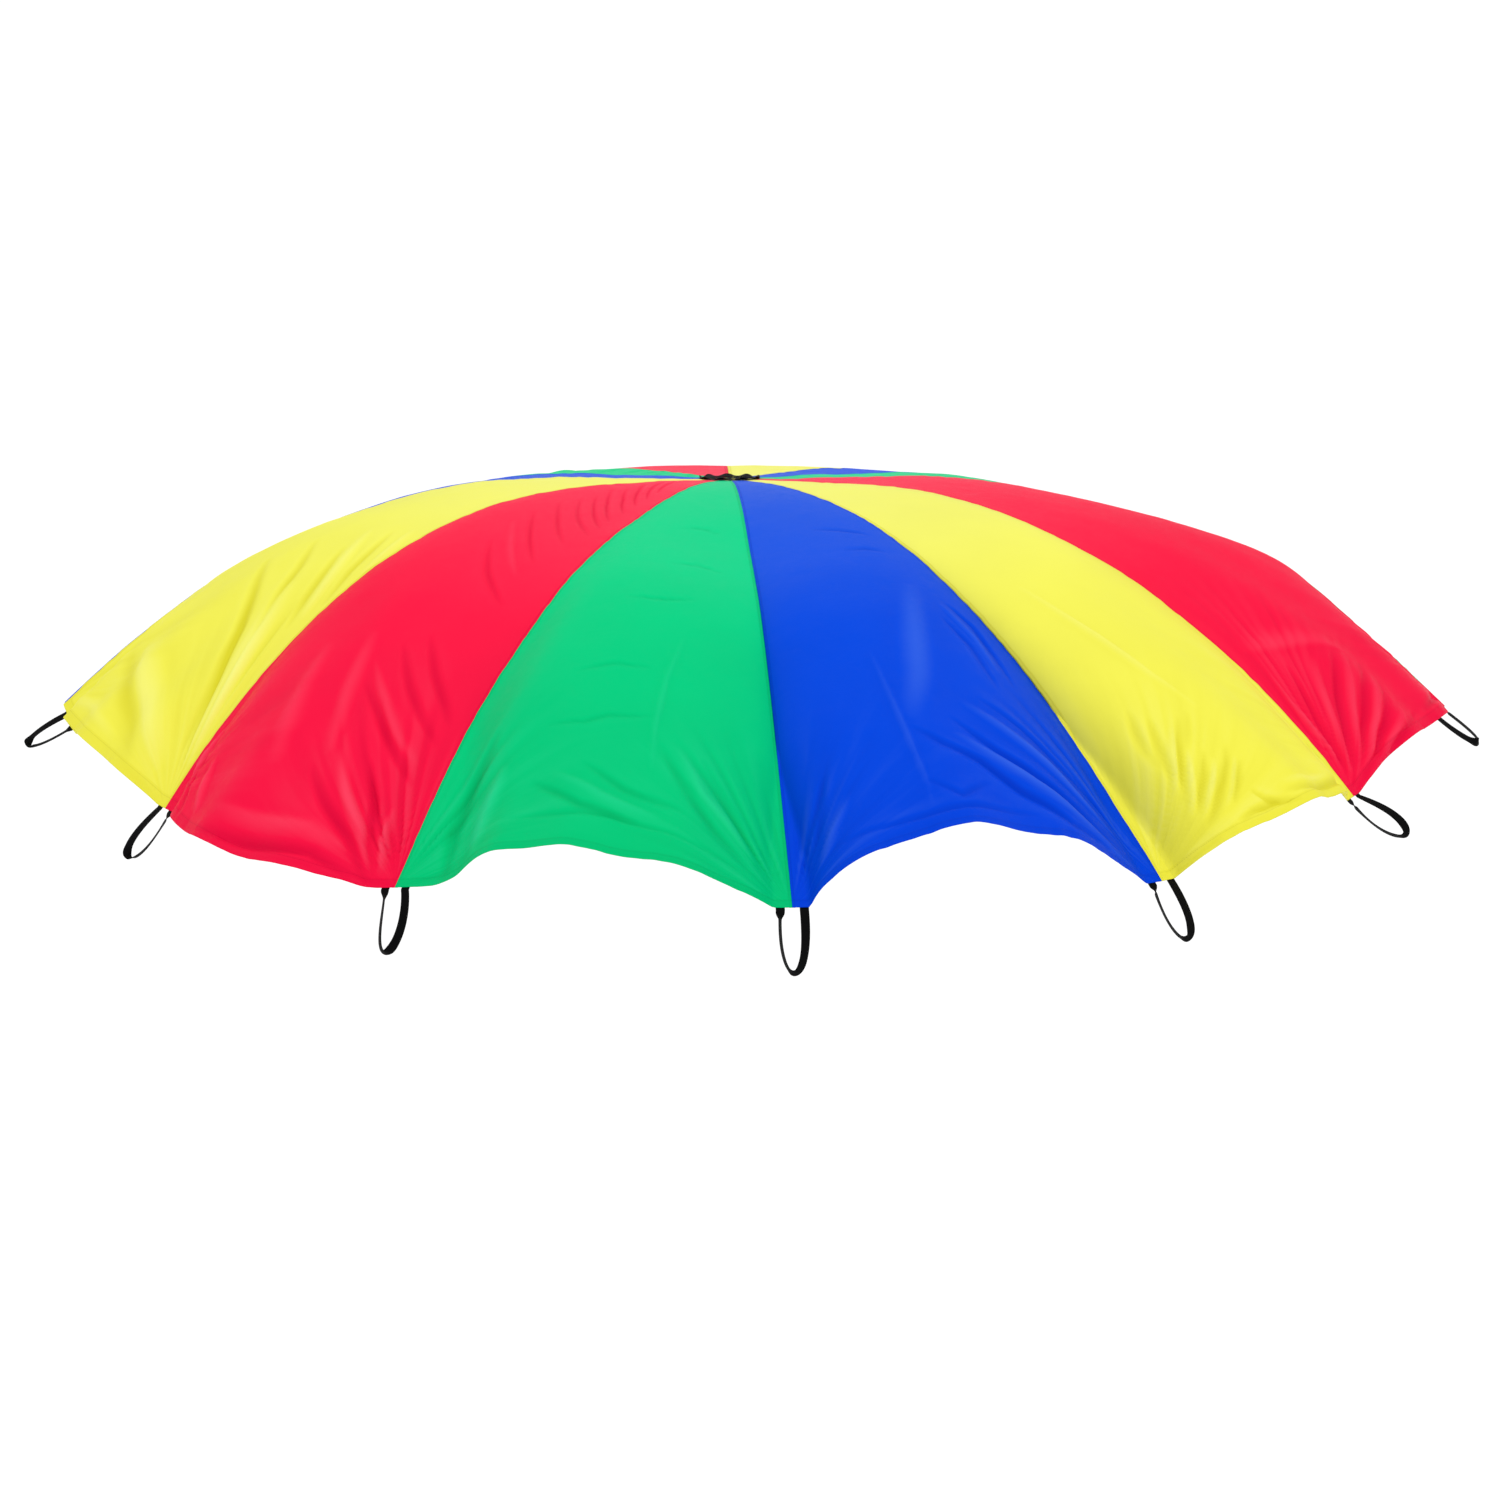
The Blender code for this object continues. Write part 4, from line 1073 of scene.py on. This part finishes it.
def make_net(material):
    """Knotless net: a wire at each side of each small square."""
    bm = bmesh.new()
    count = 2 * int(NET_RADIUS / NET_PITCH) + 1
    bmesh.ops.create_grid(bm, x_segments=count, y_segments=count, size=count * NET_PITCH / 2)
    far = [f for f in bm.faces if f.calc_center_median().length > NET_RADIUS - NET_PITCH * 0.6]
    bmesh.ops.delete(bm, geom=far, context="FACES")
    bmesh.ops.wireframe(bm, faces=bm.faces[:], thickness=NET_STRAND / 2, use_replace=True,
                        use_boundary=True, use_even_offset=True)
    for v in bm.verts:
        v.co.z += NET_SAG * math.sin(v.co.x * 160) * math.sin(v.co.y * 170)
    bmesh.ops.transform(bm, matrix=hub_place(), verts=bm.verts[:])
    thing = placed("vent_netting", mesh_of("vent_netting", bm))
    thing.data.materials.append(material)
    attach(thing, "canopy")
    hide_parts("vent_net")
    return thing


# ---- the studio
FLOOR_HEIGHT = -7.0
FLOOR_HALF = 150
SKY_STRENGTH = 0.84
SUN_STRENGTH = 0.3 * math.pi
SUN_WAY = (-0.1, 0.32, -0.95)
SUN_ANGLE = math.radians(35)
CAMERA_PLACE = (-0.643, -12.83, 3.44)
SENSOR = 36.0  # mm
LENS_SHARE = 5416 / 1500  # the focal length in widths of the sensor
CAMERA_SHIFTS = (-0.0019, -0.0275)


def make_floor():
    bm = bmesh.new()
    bmesh.ops.create_grid(bm, x_segments=4, y_segments=4, size=FLOOR_HALF)
    bmesh.ops.translate(bm, vec=(0, 0, FLOOR_HEIGHT), verts=bm.verts[:])
    floor = placed("studio_floor", mesh_of("studio_floor", bm))
    f = Finish("pale_floor", (0.97, 0.97, 0.97), Specular_IOR_Level=0.1)
    f.put(f.surface.inputs["Roughness"], 0.9 + f.noise(0.8) * 0.05)
    floor.data.materials.append(f.material)


def make_light():
    world = bpy.data.worlds.new("white_studio")
    bpy.context.scene.world = world
    world.use_nodes = True
    sky = world.node_tree.nodes["Background"]
    sky.inputs["Color"].default_value = (1.0, 1.0, 1.0, 1)
    sky.inputs["Strength"].default_value = SKY_STRENGTH
    light = bpy.data.lights.new("key_light", "SUN")
    light.angle = SUN_ANGLE
    light.energy = SUN_STRENGTH
    thing = placed("key_light", light)
    thing.rotation_euler = Vector(SUN_WAY).to_track_quat("-Z", "Y").to_euler()


def make_camera():
    camera = bpy.data.cameras.new("camera")
    camera.sensor_width = SENSOR
    camera.lens = SENSOR * LENS_SHARE
    camera.shift_x, camera.shift_y = CAMERA_SHIFTS
    camera.clip_end = 400
    thing = placed("camera", camera)
    thing.location = CAMERA_PLACE
    thing.rotation_euler = (-thing.location).to_track_quat("-Z", "Y").to_euler()
    bpy.context.scene.camera = thing
    bpy.context.scene.view_settings.view_transform = "Standard"


make_camera()
make_light()
make_floor()

CLOTHS = {
    "yellow": satin("yellow_cloth", (0.84, 0.83, 0.11), (0.81, 0.75, 0.035), (0.92, 0.92, 0.3)),
    "red": satin("red_cloth", (0.92, 0.01, 0.055), (0.82, 0.002, 0.048), (0.95, 0.085, 0.155)),
    "green": satin("green_cloth", (0.0, 0.61, 0.225), (0.0, 0.48, 0.145), (0.03, 0.69, 0.33)),
    "blue": satin("blue_cloth", (0.0, 0.067, 0.7), (0.0, 0.046, 0.65), (0.06, 0.17, 0.75)),
}
COLOUR_ORDER = ("yellow", "red", "green", "blue")
black_webbing = webbing("black_webbing")
black_tape = tape_finish("black_tape")
black_net = net_finish("black_net")

gores = []
for gore in range(GORES):
    colour = COLOUR_ORDER[gore % 4]
    cloth = make_gore(gore, CLOTHS[colour])
    gores.append(cloth)
straps = [make_strap(seam, black_webbing) for seam in range(GORES)]
patches = [make_patch(seam, black_webbing) for seam in range(GORES)]
vent = [make_net(black_net), make_tape("vent_binding_top", 1, black_tape),
        make_tape("vent_binding_bottom", -1, black_tape)]
for gore, cloth in enumerate(gores):
    following = [straps[gore], patches[gore]] + (vent if gore == 0 else [])
    held_by = [straps[gore].name, straps[(gore + 1) % GORES].name]
